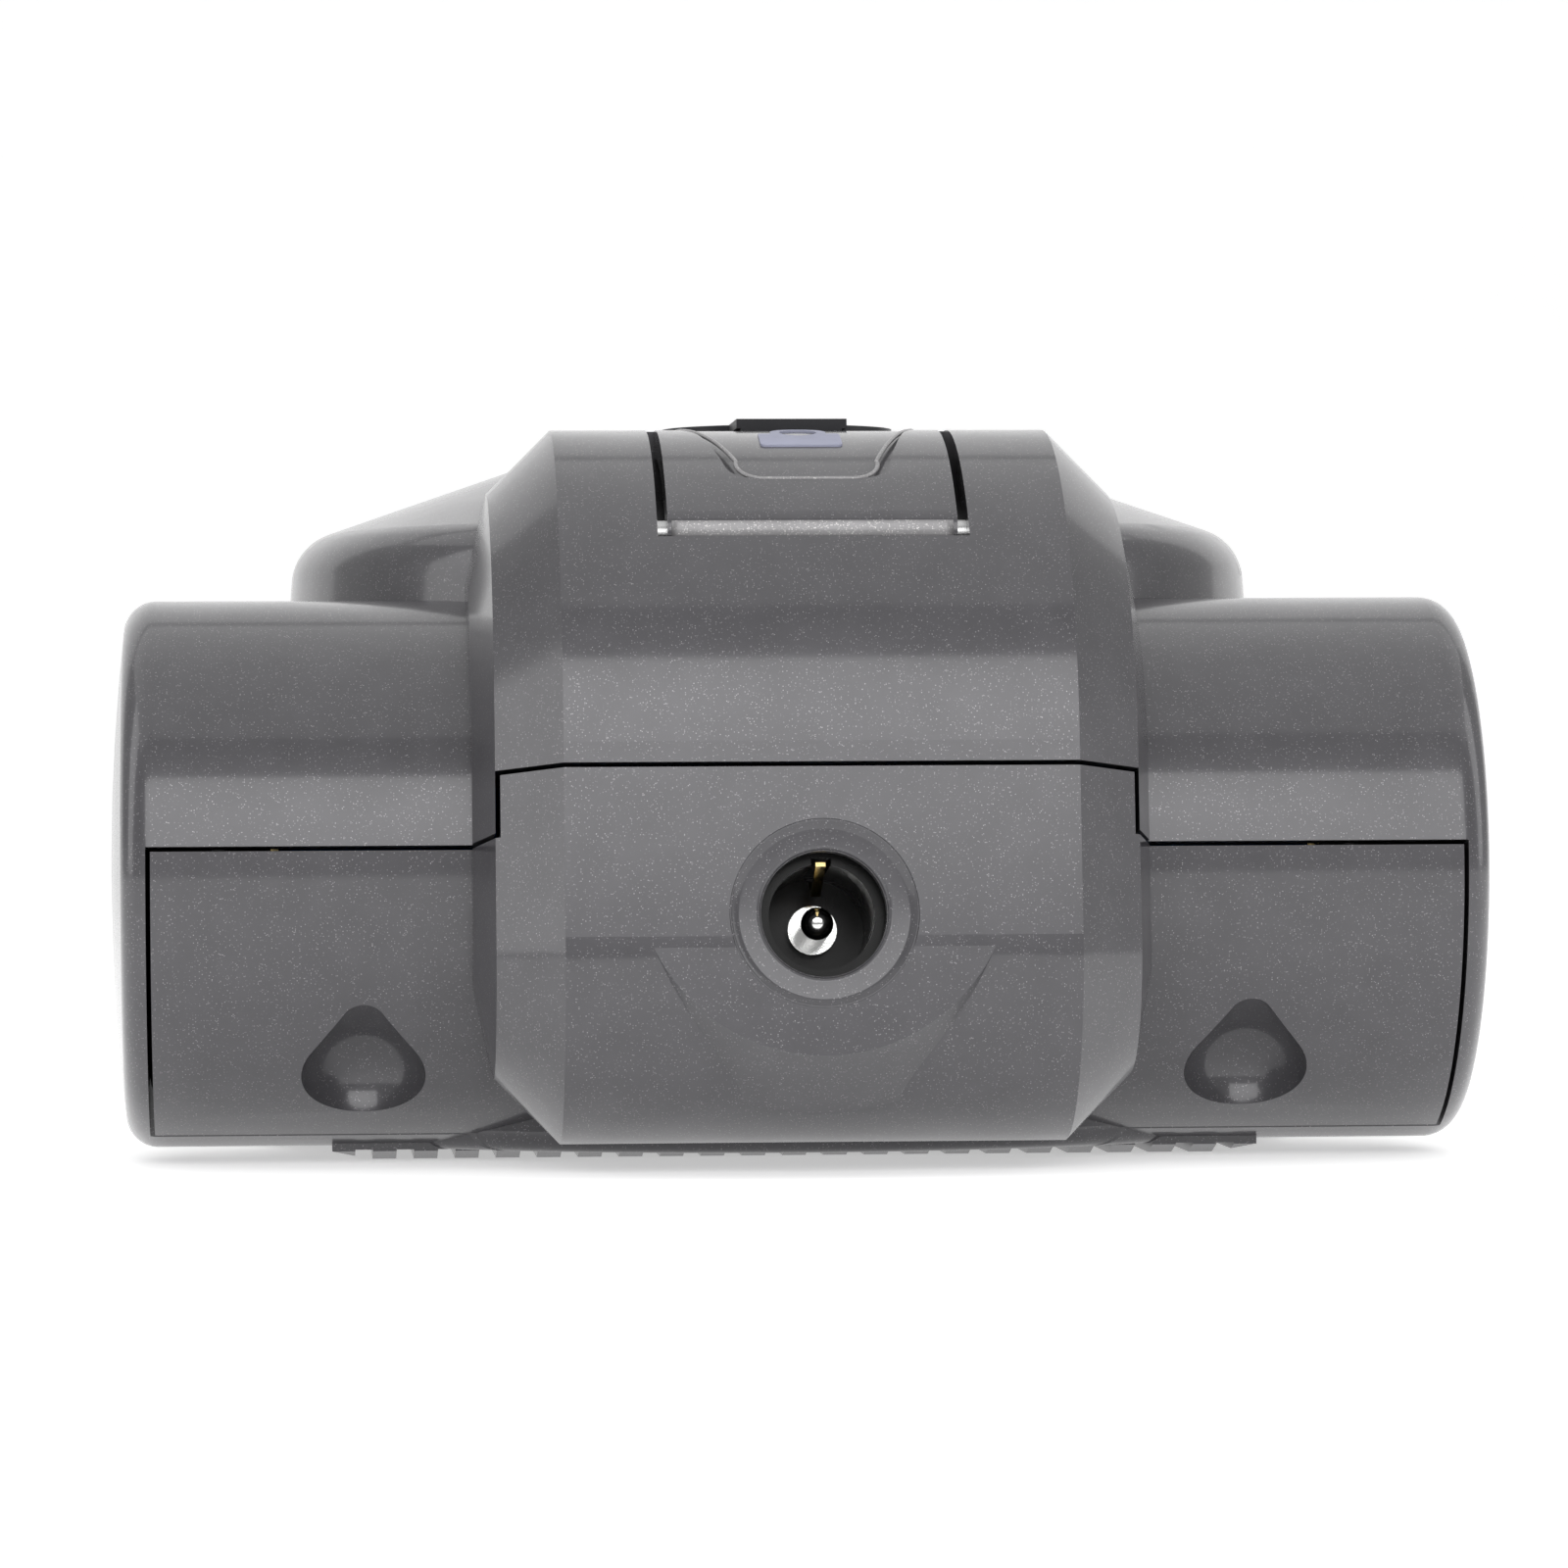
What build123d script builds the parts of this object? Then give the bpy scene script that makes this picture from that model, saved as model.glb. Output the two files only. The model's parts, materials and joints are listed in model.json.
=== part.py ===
from build123d import *
from math import asin, atan2, cos, radians, sin, sqrt, tan
import os

# A hand-held electric air pump for airbeds.  A round blower housing stands on its inlet grille, a barrel
# with the battery cell crosses behind it, and a faceted spine with the charging jack runs down the back.
# X is the width, +Y points to the front (the power button) and +Z is up.
# The origin is the middle of the base.

# ------------------------------------------------------------------ driving dimensions, in millimetres
WALL = 1.6                  # moulded wall
GAP = 0.3                   # shadow gap round the cover, the latch and the cap
FIT = 0.05                  # radial play where one piece is set into another
PIN_FIT = 0.03              # radial play of the hinge pins
SCREW_PLAY = 0.1
BASE_Z = 0.7                # underside of the housings: the grille's ribs reach down to z = 0
FLOOR_Z = 4.0               # inner floor above the grille
LEAN = 7.0                  # degrees that the rear face and the parting lines lean

BLOWER_Y = 8.3              # axis of the round housing, the motor and the impeller
BLOWER_BASE_R = 34.5
SHOULDER_R = 31.5
SHOULDER_Z = 39.5
CROWN_R = 13.3
CROWN_Z = 45.8
SHOULDER_ROUND = 3.5
CROWN_ROUND = 6.0
BASE_ROUND = 1.2

BARREL_Y = -13.7
BARREL_Z = 18.1
BARREL_R = 17.25
BARREL_HALF = 43.1          # middle of the domed ends
BARREL_RIM_X = 42.0         # where the domed ends meet the barrel's side
BARREL_END_ROUND = 2.0

JACK_Y = -41.7              # rear face at the height of the jack
JACK_Z = 15.9
SPINE_HALF = 15.5           # flat middle band of the spine
FACET_HALF = 19.5
ROOT_HALF = 20.75
FACET_INSET = 4.0
ROOT_INSET = 9.5
SPINE_TOP_R = 22.4
SPINE_LOW_R = 11.5
SPINE_FRONT_Y = 14.3
SPINE_REAR_TOP_Z = 46.95    # corner of the rear face and the top, before the large round
SPINE_FRONT_TOP_Z = 44.2
SPINE_BASE_Z = 1.65

PART_Z = 17.3               # height of the parting plane at the rear face
COVER_Z = 21.3              # the cover's top edge on the barrel, at the rear face
COVER_SPINE_Z = 25.1        # and on the spine
COVER_HALF = 40.65
COVER_FRONT_Y = -19.2

HOOD_R = 11.3
HOOD_RISE = 2.75
HOOD_TOP = 6.0              # the pad ends here above the jack, where the rear face is flat
HOOD_DRAFT = 32.0
HOOD_DEPTH = 5.0
BEZEL_R = 5.7
BEZEL_DEPTH = 0.55
JACK_HOLE_R = 3.8

SCOOP_X = 27.4
SCOOP_Z = 5.7               # centre of the scoop's ball
SCOOP_TIP_Z = 10.2
SCOOP_R = 3.9
SCOOP_OUT = 0.7

LATCH_HALF = 8.85
NOTCH_HALF = 9.5
NOTCH_DEPTH = 4.4
PIVOT_R = 20.6              # latch pivot, measured from the spine's axis
PIVOT_ANGLE = 48.5          # degrees above the horizontal
KNUCKLE_R = 1.8
LATCH_THICK = 1.8
LATCH_END_Y = -17.6         # front end of the latch flap
LATCH_PIN_R = 0.8

OUTLET_Y = -1.2             # the outlet sits a little behind the middle of the crown
BORE_R = 6.0
COLLAR_R = 7.55
COLLAR_TOP_Z = 46.05
COLLAR_FOOT_Z = 38.0
CAP_TOP_Z = 46.75

CAP_HINGE_Y = 7.8
CAP_HINGE_Z = 45.85
CAP_KNUCKLE_R = 0.9
CAP_PIN_R = 0.4
HINGE_SLOT_HALF = 4.6
HINGE_SLOT_REACH = 1.5      # to each side of the hinge axis
HINGE_SLOT_Z = 44.65
TAB_END_Y = -15.7
TAB_HALF = 3.5
TAB_GROOVE_Z = 44.9
TAB_GROOVE_Y = -10.5
TAB_GROOVE_HALF = 4.0
COLLAR_BARREL_R = 7.0

GRILLE_R = 29.3
GRILLE_REAR_Y = -16.7
GRILLE_TOP_Z = 2.4
GRILLE_BEVEL_H = 0.6
GRILLE_BEVEL_W = 2.4
SLOT_PITCH = 2.6
SLOT_COUNT = 22
SLOT_WIDE = 1.1
RIB_H = 0.7
CROSS_BAR = 2.0
INLET_R = 22.5

FRONT_POSTS = [(22.8, 21.6), (-22.8, 21.6)]     # under the grille, so their screws are hidden
REAR_POSTS = [(36.4, -8.0), (-36.4, -8.0)]
POST_PLACES = FRONT_POSTS + REAR_POSTS
POST_RADIUS = 3.1
POST_WEB = 2.0
POST_WEB_REACH = 6.5        # from the middle of a front post into the housing's wall
SCREW_SEAT_Z = 4.2
SCREW_HEAD_R = 2.1
SCREW_HEAD_H = 1.4
SCREW_R = 1.2
SCREW_TIP_Z = 19.5
SCREW_SLOT = (0.6, 2.8, 0.8)  # width, length and depth of the cross recess
PIN_HALF = 10.6

POCKET_WALL = 1.4
SCOOP_WALL = 1.4
SCOOP_TIP_R = 1.4
HOOD_SINK = 0.02            # the pad's face lies this far behind the spine's, so the two never coincide

MOUTH_R = 6.4               # the collar's bore widens above the stated wall, clear of the cap's plug
MOUTH_Z = 44.2
FLANGE_Z = 45.8
EAR_IN = 2.6                # the collar's two hinge ears, measured from the middle
EAR_OUT = 4.2
CAP_KNUCKLE_HALF = 2.4
CAP_Z = 46.15               # underside of the cap's plate
PLUG_R = 5.5
PLUG_WALL = 1.0
PLUG_Z = 44.4
HOOK_Z = 45.1
HOOK_LONG = 1.0
HOOK_HALF = 3.2

RECESS_SHIFT = 1.3          # the finger recess: the latch's own curve, moved forward by this much
RECESS_CUT = 2.0
RECESS_REAR_Y = -30.2
RECESS_REAR_HALF = 4.8
RECESS_FRONT_HALF = 7.7
RECESS_ROUND = 1.6
NOSE_LOW_Z = 44.3
NOSE_HIGH_Z = 44.85
NOSE_END_Y = -16.2
NOSE_GROOVE_Z = 44.15
NOSE_GROOVE_Y = -16.0
LOCK_PROUD = 0.12
LOCK_HALF = 2.55
LOCK_LOW_Y = -24.5
LOCK_TOP_Y = -21.5
LOCK_LOOP_Y = -19.3
LOCK_LOOP_HALF = 1.75
LOCK_LINE = 0.6

TORSION_R = 1.05            # latch spring: middle of the coil
TORSION_WIRE_R = 0.18
TORSION_HALF = 2.5
TORSION_TURNS = 9
TORSION_LEG = 1.2
TORSION_ROOM_R = 1.4
TORSION_ROOM_HALF = 3.0

DECK_Z = 25.0
DECK_TOP_Z = 26.4
DECK_R = 30.6
SHROUD_R = 29.6
SHROUD_WALL = 1.2
SHROUD_TOP_Z = 36.0
EYE_OUT_R = 18.5            # ring-shaped air way through the deck, crossed by spokes
EYE_IN_R = 13.5
SPOKE = 2.4
SPOKE_COUNT = 4
BOSS_HOLE_R = 3.2

MOTOR_R = 12.2
MOTOR_Z = 7.5
BOSS_R = 3.0
BOSS_TOP_Z = 26.2
END_CAP_R = 11.4
END_CAP_Z = 6.3
LUG_X = 7.5
LUG_Z = 4.6
LUG_THICK = 0.5
LUG_WIDE = 2.4
SHAFT_R = 1.0
SHAFT_Z = 5.6
SHAFT_TOP_Z = 37.0

BLADE_Z = 27.4
PLATE_Z = 35.0
PLATE_TOP_Z = 36.2
IMPELLER_R = 25.0
BLADE_IN_R = 13.0
BLADE_COUNT = 9
BLADE_SWEEP = 38.0          # degrees that a blade trails from its root to its tip
BLADE_BOW = 0.36            # share of the sweep reached half way out
BLADE_THICK = 1.2
HUB_R = 3.5
FAIRING_R = 9.0

CELL_R = 9.2
CELL_Y = -14.4
CELL_Z = 15.3
CELL_HALF = 32.5
CELL_NUB_R = 2.8
CELL_NUB = 0.6
CELL_ROUND = 0.5
SADDLE_X = 22.0
SADDLE_THICK = 3.0
SADDLE_TOP_Z = 12.0
CRADLE_REAR_Y = -18.2
CRADLE_FRONT_Y = -10.6
RAIL_FRONT_Y = -15.7
RAIL_TOP_Z = 5.6
END_WALL_X = 33.2
END_WALL_THICK = 1.2
END_WALL_FRONT_Y = -11.7
END_WALL_TOP_Z = 22.5
CONTACT_X = 32.6
CONTACT_THICK = 0.5
CONTACT_HALF = 2.6
CONTACT_ROUND = 1.0
CONTACT_TOP_Z = 21.0
CONTACT_LOW_Z = 11.5
ARM_HALF = 5.0
ARM_REAR_Y = -33.0
ARM_Z = 4.6

# The jack and its board are measured from the rear face: "deep" runs into the pump, "up" along the face.
JACK_HALF = 4.5
JACK_FOOT = 4.6             # from the jack's axis down to the board
JACK_FRONT = 2.6
JACK_REAR = 12.9
JACK_BORE_R = 3.2
JACK_BORE_END = 11.4
JACK_PIN_R = 1.0
JACK_PIN_TIP = 5.5
JACK_PIN_ROUND = 0.95
JACK_PIN_BASE_R = 1.5
JACK_PIN_BASE = 1.0
LEAF_HALF = 0.3
LEAF_THICK = 0.25
LEAF_GROOVE_HALF = 0.6
LEAF_GROOVE_UP = 3.6
LEAF_GROOVE_END = 9.6
BOARD_HALF = 13.5
BOARD_THICK = 1.2
BOARD_FRONT = 3.4
BOARD_REAR = 13.4

BUTTON_Z = 18.0
BUTTON_R = 5.0
BUTTON_FACE_Y = 42.2
BUTTON_ROUND = 0.6
BUTTON_FLANGE_R = 6.2
BUTTON_FLANGE_Y = 38.9      # front of the flange
BUTTON_FLANGE_REAR_Y = 37.9
BUTTON_STEM_R = 1.5
BUTTON_STEM_Y = 36.6
LENS_R = 0.9
LENS_PLACES = [(8.0, 18.0), (-8.0, 18.0)]
LENS_FACE_Y = 40.8
LENS_REAR_Y = 36.2
SWITCH_BOARD_Y = 32.6       # rear of the board behind the button
SWITCH_BOARD_FRONT_Y = 33.8
SWITCH_BOARD_HALF = 10.0
SWITCH_BOARD_Z = 11.5
SWITCH_HALF = 3.0
SWITCH_ROUND = 0.4
SWITCH_FRONT_Y = 35.2
PLUNGER_R = 1.2
PLUNGER_FRONT_Y = 35.5
LED_HALF = 1.0
LED_FRONT_Y = 35.0
RETURN_R = 4.9              # return spring: middle of the coil
RETURN_WIRE_R = 0.3
RETURN_PITCH = 0.85
RETURN_LONG = 2.1

REAR_NORMAL = (0, -cos(radians(LEAN)), sin(radians(LEAN)))
PARTING_NORMAL = (0, sin(radians(LEAN)), cos(radians(LEAN)))
REAR_PLANE = Plane(origin=(0, JACK_Y, JACK_Z), x_dir=(1, 0, 0), z_dir=REAR_NORMAL)
FAR = 200.0                 # larger than the whole pump: for cutting solids


# ------------------------------------------------------------------ outlines
def moved_in(outline, inset):
    """The corners of a closed polygon, with every side moved inwards by the inset (corners anticlockwise)."""
    moved = []
    for index, corner in enumerate(outline):
        before = outline[index - 1]
        after = outline[(index + 1) % len(outline)]
        angle_in = atan2(corner[1] - before[1], corner[0] - before[0])
        angle_out = atan2(after[1] - corner[1], after[0] - corner[0])
        half_turn = (angle_out - angle_in) / 2
        middle = angle_in + half_turn
        reach = inset / cos(half_turn)
        moved.append((corner[0] - reach * sin(middle), corner[1] + reach * cos(middle)))
    return moved


def spine_outline(inset):
    """Side view of the spine: a leaning rear face between two large rounds."""
    lean = tan(radians(LEAN))

    def rear_y(height):
        return JACK_Y + (height - JACK_Z) * lean

    corners = [
        (SPINE_FRONT_Y, SPINE_BASE_Z),
        (SPINE_FRONT_Y, SPINE_FRONT_TOP_Z),
        (rear_y(SPINE_REAR_TOP_Z), SPINE_REAR_TOP_Z),
        (rear_y(SPINE_BASE_Z), SPINE_BASE_Z),
    ]
    return moved_in(corners, inset)


SPINE_AXIS_Y, SPINE_AXIS_Z = moved_in(spine_outline(0), SPINE_TOP_R)[2]
PIVOT_Y = SPINE_AXIS_Y - PIVOT_R * cos(radians(PIVOT_ANGLE))
PIVOT_Z = SPINE_AXIS_Z + PIVOT_R * sin(radians(PIVOT_ANGLE))


# ------------------------------------------------------------------ solid forms used by several pieces
def blower_form(inset, base_z):
    """The round housing: a drafted wall, a sloping shoulder and a flat crown."""
    outline = [(BLOWER_BASE_R, BASE_Z), (SHOULDER_R, SHOULDER_Z), (CROWN_R, CROWN_Z)]
    mirrored = [(-x, z) for x, z in reversed(outline)]
    wall, shoulder, crown = moved_in(outline + mirrored, inset)[:3]
    with BuildPart() as form:
        with BuildSketch(Plane(origin=(0, BLOWER_Y, 0), x_dir=(1, 0, 0), z_dir=(0, -1, 0))):
            with BuildLine():
                FilletPolyline(
                    (0, base_z),
                    (wall[0], base_z),
                    shoulder,
                    crown,
                    (0, crown[1]),
                    radius=[BASE_ROUND, SHOULDER_ROUND - inset, CROWN_ROUND - inset],
                )
                Line((0, crown[1]), (0, base_z))
            make_face()
        revolve(axis=Axis((0, BLOWER_Y, 0), (0, 0, 1)))
    return form.part


def barrel_form(inset):
    """The battery barrel across the back, with slightly domed ends."""
    half = BARREL_HALF - inset
    rim_x = BARREL_RIM_X - inset
    radius = BARREL_R - inset
    sagitta = half - rim_x
    dome_r = (radius**2 + sagitta**2) / (2 * sagitta)
    middle_x = half - dome_r + sqrt(dome_r**2 - (radius / 2) ** 2)
    with BuildPart() as form:
        with BuildSketch(Plane(origin=(0, BARREL_Y, BARREL_Z), x_dir=(1, 0, 0), z_dir=(0, 0, 1))) as profile:
            with BuildLine():
                ThreePointArc((half, 0), (middle_x, radius / 2), (rim_x, radius))
                Line((rim_x, radius), (-rim_x, radius))
                ThreePointArc((-rim_x, radius), (-middle_x, radius / 2), (-half, 0))
                Line((-half, 0), (half, 0))
            make_face()
            fillet(profile.vertices().group_by(Axis.Y)[-1], BARREL_END_ROUND)
        revolve(axis=Axis((0, BARREL_Y, BARREL_Z), (1, 0, 0)))
    return form.part


def spine_form(sections):
    """The faceted spine: its side outline, shrinking in straight steps towards both sides."""
    steps = [(-half, inset) for half, inset in reversed(sections)] + sections
    with BuildPart() as form:
        for x, inset in steps:
            with BuildSketch(Plane.YZ.offset(x)):
                with BuildLine():
                    FilletPolyline(
                        *spine_outline(inset),
                        radius=[2.0, 2.0, SPINE_TOP_R - inset, SPINE_LOW_R - inset],
                        close=True,
                    )
                make_face()
        loft(ruled=True)
    return form.part


def below_parting(height):
    """Everything under a parting plane that leans forward from this height at the rear face."""
    with BuildPart() as half_space:
        with BuildSketch(Plane(origin=(0, JACK_Y, height), x_dir=(1, 0, 0), z_dir=PARTING_NORMAL)):
            Rectangle(2 * FAR, 2 * FAR)
        extrude(amount=-FAR)
    return half_space.part


def behind(y):
    """Everything to the rear of a cross plane."""
    with BuildPart() as half_space:
        with BuildSketch(Plane.XZ.offset(-y)):
            Rectangle(2 * FAR, 2 * FAR)
        extrude(amount=FAR)
    return half_space.part


def cover_step(half, height):
    """A slab of this half width behind the cover's front edge and under the parting plane at this height."""
    with BuildPart() as step:
        with BuildSketch(Plane.YZ):
            Rectangle(2 * FAR, 2 * FAR)
        extrude(amount=half, both=True)
        add(below_parting(height), mode=Mode.INTERSECT)
    return step.part


def cover_zone(gap):
    """The space that the rear cover fills: the barrel's lower back, and a higher step on the spine."""
    with BuildPart() as zone:
        add(cover_step(COVER_HALF - gap, COVER_Z - gap))
        add(cover_step(FACET_HALF - gap, COVER_SPINE_Z - gap))
        add(behind(COVER_FRONT_Y - gap), mode=Mode.INTERSECT)
    return zone.part


def latch_pocket(grow):
    """The well under the latch: a ring sector round the spine's axis, open at the top."""
    low_angle = radians(PIVOT_ANGLE) - asin((KNUCKLE_R + GAP + grow) / PIVOT_R)
    front_y = LATCH_END_Y + GAP + grow
    reach = 3 * SPINE_TOP_R
    with BuildPart() as pocket:
        with BuildSketch(Plane.YZ):
            with Locations((SPINE_AXIS_Y, SPINE_AXIS_Z)):
                Circle(SPINE_TOP_R + 6)
                Circle(SPINE_TOP_R - NOTCH_DEPTH - grow, mode=Mode.SUBTRACT)
            Polygon(
                (SPINE_AXIS_Y, SPINE_AXIS_Z),
                (front_y, SPINE_AXIS_Z),
                (front_y, SPINE_AXIS_Z + reach),
                (SPINE_AXIS_Y - reach * cos(low_angle), SPINE_AXIS_Z + reach * sin(low_angle)),
                align=None,
                mode=Mode.INTERSECT,
            )
        extrude(amount=NOTCH_HALF + grow, both=True)
    return pocket.part


def thumb_scoop(side, grow):
    """A teardrop cutter: a ball below and a small ball at the tip, joined by a cone."""
    surface_y = BARREL_Y - sqrt(BARREL_R**2 - (BARREL_Z - SCOOP_Z) ** 2)
    tip_y = BARREL_Y - sqrt(BARREL_R**2 - (BARREL_Z - SCOOP_TIP_Z) ** 2)
    outward = Vector(0, surface_y - BARREL_Y, SCOOP_Z - BARREL_Z).normalized()
    ball = Vector(side * SCOOP_X, surface_y, SCOOP_Z) + outward * SCOOP_OUT
    tip = Vector(side * SCOOP_X, tip_y, SCOOP_TIP_Z)
    along = tip - ball
    length = along.length - SCOOP_TIP_R
    plane = Plane(origin=ball, x_dir=along, z_dir=(1, 0, 0))
    with BuildPart() as scoop:
        with BuildSketch(plane):
            Circle(SCOOP_R + grow)
            with Locations((length, 0)):
                Circle(SCOOP_TIP_R + grow)
            make_hull()
            with Locations((0, -FAR / 2)):
                Rectangle(FAR, FAR, mode=Mode.SUBTRACT)
        revolve(axis=Axis(ball, along))
    return scoop.part


def grille_plan(grow):
    """The grille's plan: straight across the back, round at the front."""
    radius = GRILLE_R + grow
    with BuildSketch() as plan:
        with BuildLine():
            Line((radius, BLOWER_Y), (radius, GRILLE_REAR_Y - grow))
            Line((radius, GRILLE_REAR_Y - grow), (-radius, GRILLE_REAR_Y - grow))
            Line((-radius, GRILLE_REAR_Y - grow), (-radius, BLOWER_Y))
            ThreePointArc((-radius, BLOWER_Y), (0, BLOWER_Y + radius), (radius, BLOWER_Y))
        make_face()
    return plan.sketch


def grille_slab(grow, low_z, high_z):
    """A slab of the grille's plan between two heights."""
    with BuildPart() as slab:
        with BuildSketch(Plane.XY.offset(low_z)):
            add(grille_plan(grow))
        extrude(amount=high_z - low_z)
    return slab.part


def hood_form():
    """The pad round the jack: its flat face stays upright where the spine curves under."""
    with BuildPart() as hood:
        with BuildSketch(REAR_PLANE.offset(-HOOD_SINK)):
            with Locations((0, HOOD_RISE)):
                Circle(HOOD_R)
            with Locations((0, HOOD_TOP + HOOD_R)):
                Rectangle(4 * HOOD_R, 2 * HOOD_R, mode=Mode.SUBTRACT)
        extrude(amount=-HOOD_DEPTH, taper=-HOOD_DRAFT)
    return hood.part


SPINE_OUTSIDE = [(SPINE_HALF, 0), (FACET_HALF, FACET_INSET), (ROOT_HALF, ROOT_INSET)]
SPINE_INSIDE = [(SPINE_HALF - 0.41 * WALL, WALL), (18.25, 5.0), (ROOT_HALF - WALL, ROOT_INSET)]

outside = blower_form(0, BASE_Z) + barrel_form(0) + spine_form(SPINE_OUTSIDE) + hood_form()
outside -= latch_pocket(0)
cavity = blower_form(WALL, FLOOR_Z) + barrel_form(WALL) + spine_form(SPINE_INSIDE)
cavity -= latch_pocket(POCKET_WALL)
cavity -= grille_slab(WALL, 0, FLOOR_Z)
for side in (-1, 1):
    outside -= thumb_scoop(side, 0)
    cavity -= thumb_scoop(side, SCOOP_WALL)
shell = outside - cavity


def post_columns(places, web_reach, low_z, high_z):
    """Screw posts between two heights, tied to the wall by webs and trimmed to the outside of the pump."""
    with BuildPart() as columns:
        with BuildSketch(Plane.XY.offset(low_z)):
            with Locations(*places):
                Circle(POST_RADIUS)
            for x, y in places:
                outward = Vector(x, y - BLOWER_Y).normalized()
                middle = Vector(x, y) + outward * web_reach / 2
                SlotCenterPoint(middle, middle + outward * web_reach / 2, POST_WEB)
        extrude(amount=high_z - low_z)
        add(outside, mode=Mode.INTERSECT)
    return columns.part


def round_cutters(places, radius, low_z, high_z):
    """Plain upright cylinders, for holes."""
    with BuildPart() as cutters:
        with BuildSketch(Plane.XY.offset(low_z)):
            with Locations(*places):
                Circle(radius)
        extrude(amount=high_z - low_z)
    return cutters.part


def front_cutters(places, radius):
    """Cylinders along +Y through the front wall."""
    with BuildPart() as cutters:
        with BuildSketch(Plane.XZ.offset(-BLOWER_Y)):
            with Locations(*places):
                Circle(radius)
        extrude(amount=-FAR)
    return cutters.part


def coil(base, radius, wire_r, pitch, length, legs):
    """A round-wire coil along a plane's normal, starting on its x axis, with straight legs if asked for."""
    with BuildPart() as spring:
        with BuildLine():
            turns = Helix(pitch=pitch, height=length, radius=radius)
            if legs:
                Line((turns @ 0) - (turns % 0) * legs, turns @ 0)
                Line(turns @ 1, (turns @ 1) + (turns % 1) * legs)
        with BuildSketch(Plane(origin=turns @ 0, z_dir=turns % 0)):
            Circle(wire_r)
        sweep(path=spring.pending_edges_as_wire)
    return spring.part.moved(base.location)


def finish(piece, name):
    """Labels a finished piece and writes it."""
    piece.part.label = name
    export_step(piece.part, f"parts/{name}.step")


os.makedirs("parts", exist_ok=True)

# ------------------------------------------------------------------ housings
with BuildPart() as lower_housing:
    add(shell)
    add(post_columns(FRONT_POSTS, POST_WEB_REACH, BASE_Z, PART_Z))
    add(post_columns(REAR_POSTS, POST_WEB, BASE_Z, PART_Z))
    add(below_parting(PART_Z), mode=Mode.INTERSECT)
    add(cover_zone(0), mode=Mode.SUBTRACT)
    add(grille_slab(0, 0, GRILLE_TOP_Z), mode=Mode.SUBTRACT)
    add(round_cutters([(0, BLOWER_Y)], INLET_R, 0, FLOOR_Z + 1), mode=Mode.SUBTRACT)
    add(round_cutters(POST_PLACES, SCREW_HEAD_R + GAP, 0, SCREW_SEAT_Z), mode=Mode.SUBTRACT)
    add(round_cutters(POST_PLACES, SCREW_R + SCREW_PLAY, 0, PART_Z), mode=Mode.SUBTRACT)
finish(lower_housing, "lower_housing")

with BuildPart() as upper_housing:
    add(shell)
    add(post_columns(FRONT_POSTS, POST_WEB_REACH, FLOOR_Z, DECK_Z))
    add(post_columns(REAR_POSTS, POST_WEB, FLOOR_Z, BARREL_Z + BARREL_R - WALL / 2))
    add(below_parting(PART_Z), mode=Mode.SUBTRACT)
    add(cover_zone(0), mode=Mode.SUBTRACT)
    add(round_cutters(POST_PLACES, SCREW_R + FIT, 0, SCREW_TIP_Z + 1), mode=Mode.SUBTRACT)
    add(round_cutters([(0, OUTLET_Y)], COLLAR_BARREL_R + FIT, DECK_Z, FAR), mode=Mode.SUBTRACT)
    add(front_cutters([(0, BUTTON_Z)], BUTTON_R + GAP), mode=Mode.SUBTRACT)
    add(front_cutters(LENS_PLACES, LENS_R + FIT), mode=Mode.SUBTRACT)
    # The latch pin runs through both side walls of the latch's well.
    with BuildSketch(Plane.YZ):
        with Locations((PIVOT_Y, PIVOT_Z)):
            Circle(LATCH_PIN_R + PIN_FIT)
    extrude(amount=PIN_HALF, both=True, mode=Mode.SUBTRACT)
    # Nail groove under the cap's tab, and a shallow slot for the cap's hinge.
    with BuildSketch(Plane.XY.offset(TAB_GROOVE_Z)):
        with Locations((0, (LATCH_END_Y + TAB_GROOVE_Y) / 2)):
            Rectangle(2 * TAB_GROOVE_HALF, TAB_GROOVE_Y - LATCH_END_Y)
    extrude(amount=FAR, mode=Mode.SUBTRACT)
    with BuildSketch(Plane.XY.offset(HINGE_SLOT_Z)):
        with Locations((0, CAP_HINGE_Y)):
            Rectangle(2 * HINGE_SLOT_HALF, 2 * HINGE_SLOT_REACH)
    extrude(amount=FAR, mode=Mode.SUBTRACT)
    with BuildSketch(Plane.XY.offset(NOSE_GROOVE_Z)):
        with Locations((0, (LATCH_END_Y + NOSE_GROOVE_Y) / 2)):
            Rectangle(2 * TAB_GROOVE_HALF, NOSE_GROOVE_Y - LATCH_END_Y)
    extrude(amount=TAB_GROOVE_Z - NOSE_GROOVE_Z, mode=Mode.SUBTRACT)
finish(upper_housing, "upper_housing")

with BuildPart() as rear_cover:
    add(shell)
    add(cover_zone(GAP), mode=Mode.INTERSECT)
    with BuildSketch(REAR_PLANE):
        Circle(JACK_HOLE_R)
    extrude(amount=-HOOD_DEPTH, mode=Mode.SUBTRACT)
    with BuildSketch(REAR_PLANE):
        Circle(BEZEL_R)
    extrude(amount=-BEZEL_DEPTH, mode=Mode.SUBTRACT)
finish(rear_cover, "rear_cover")

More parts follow.
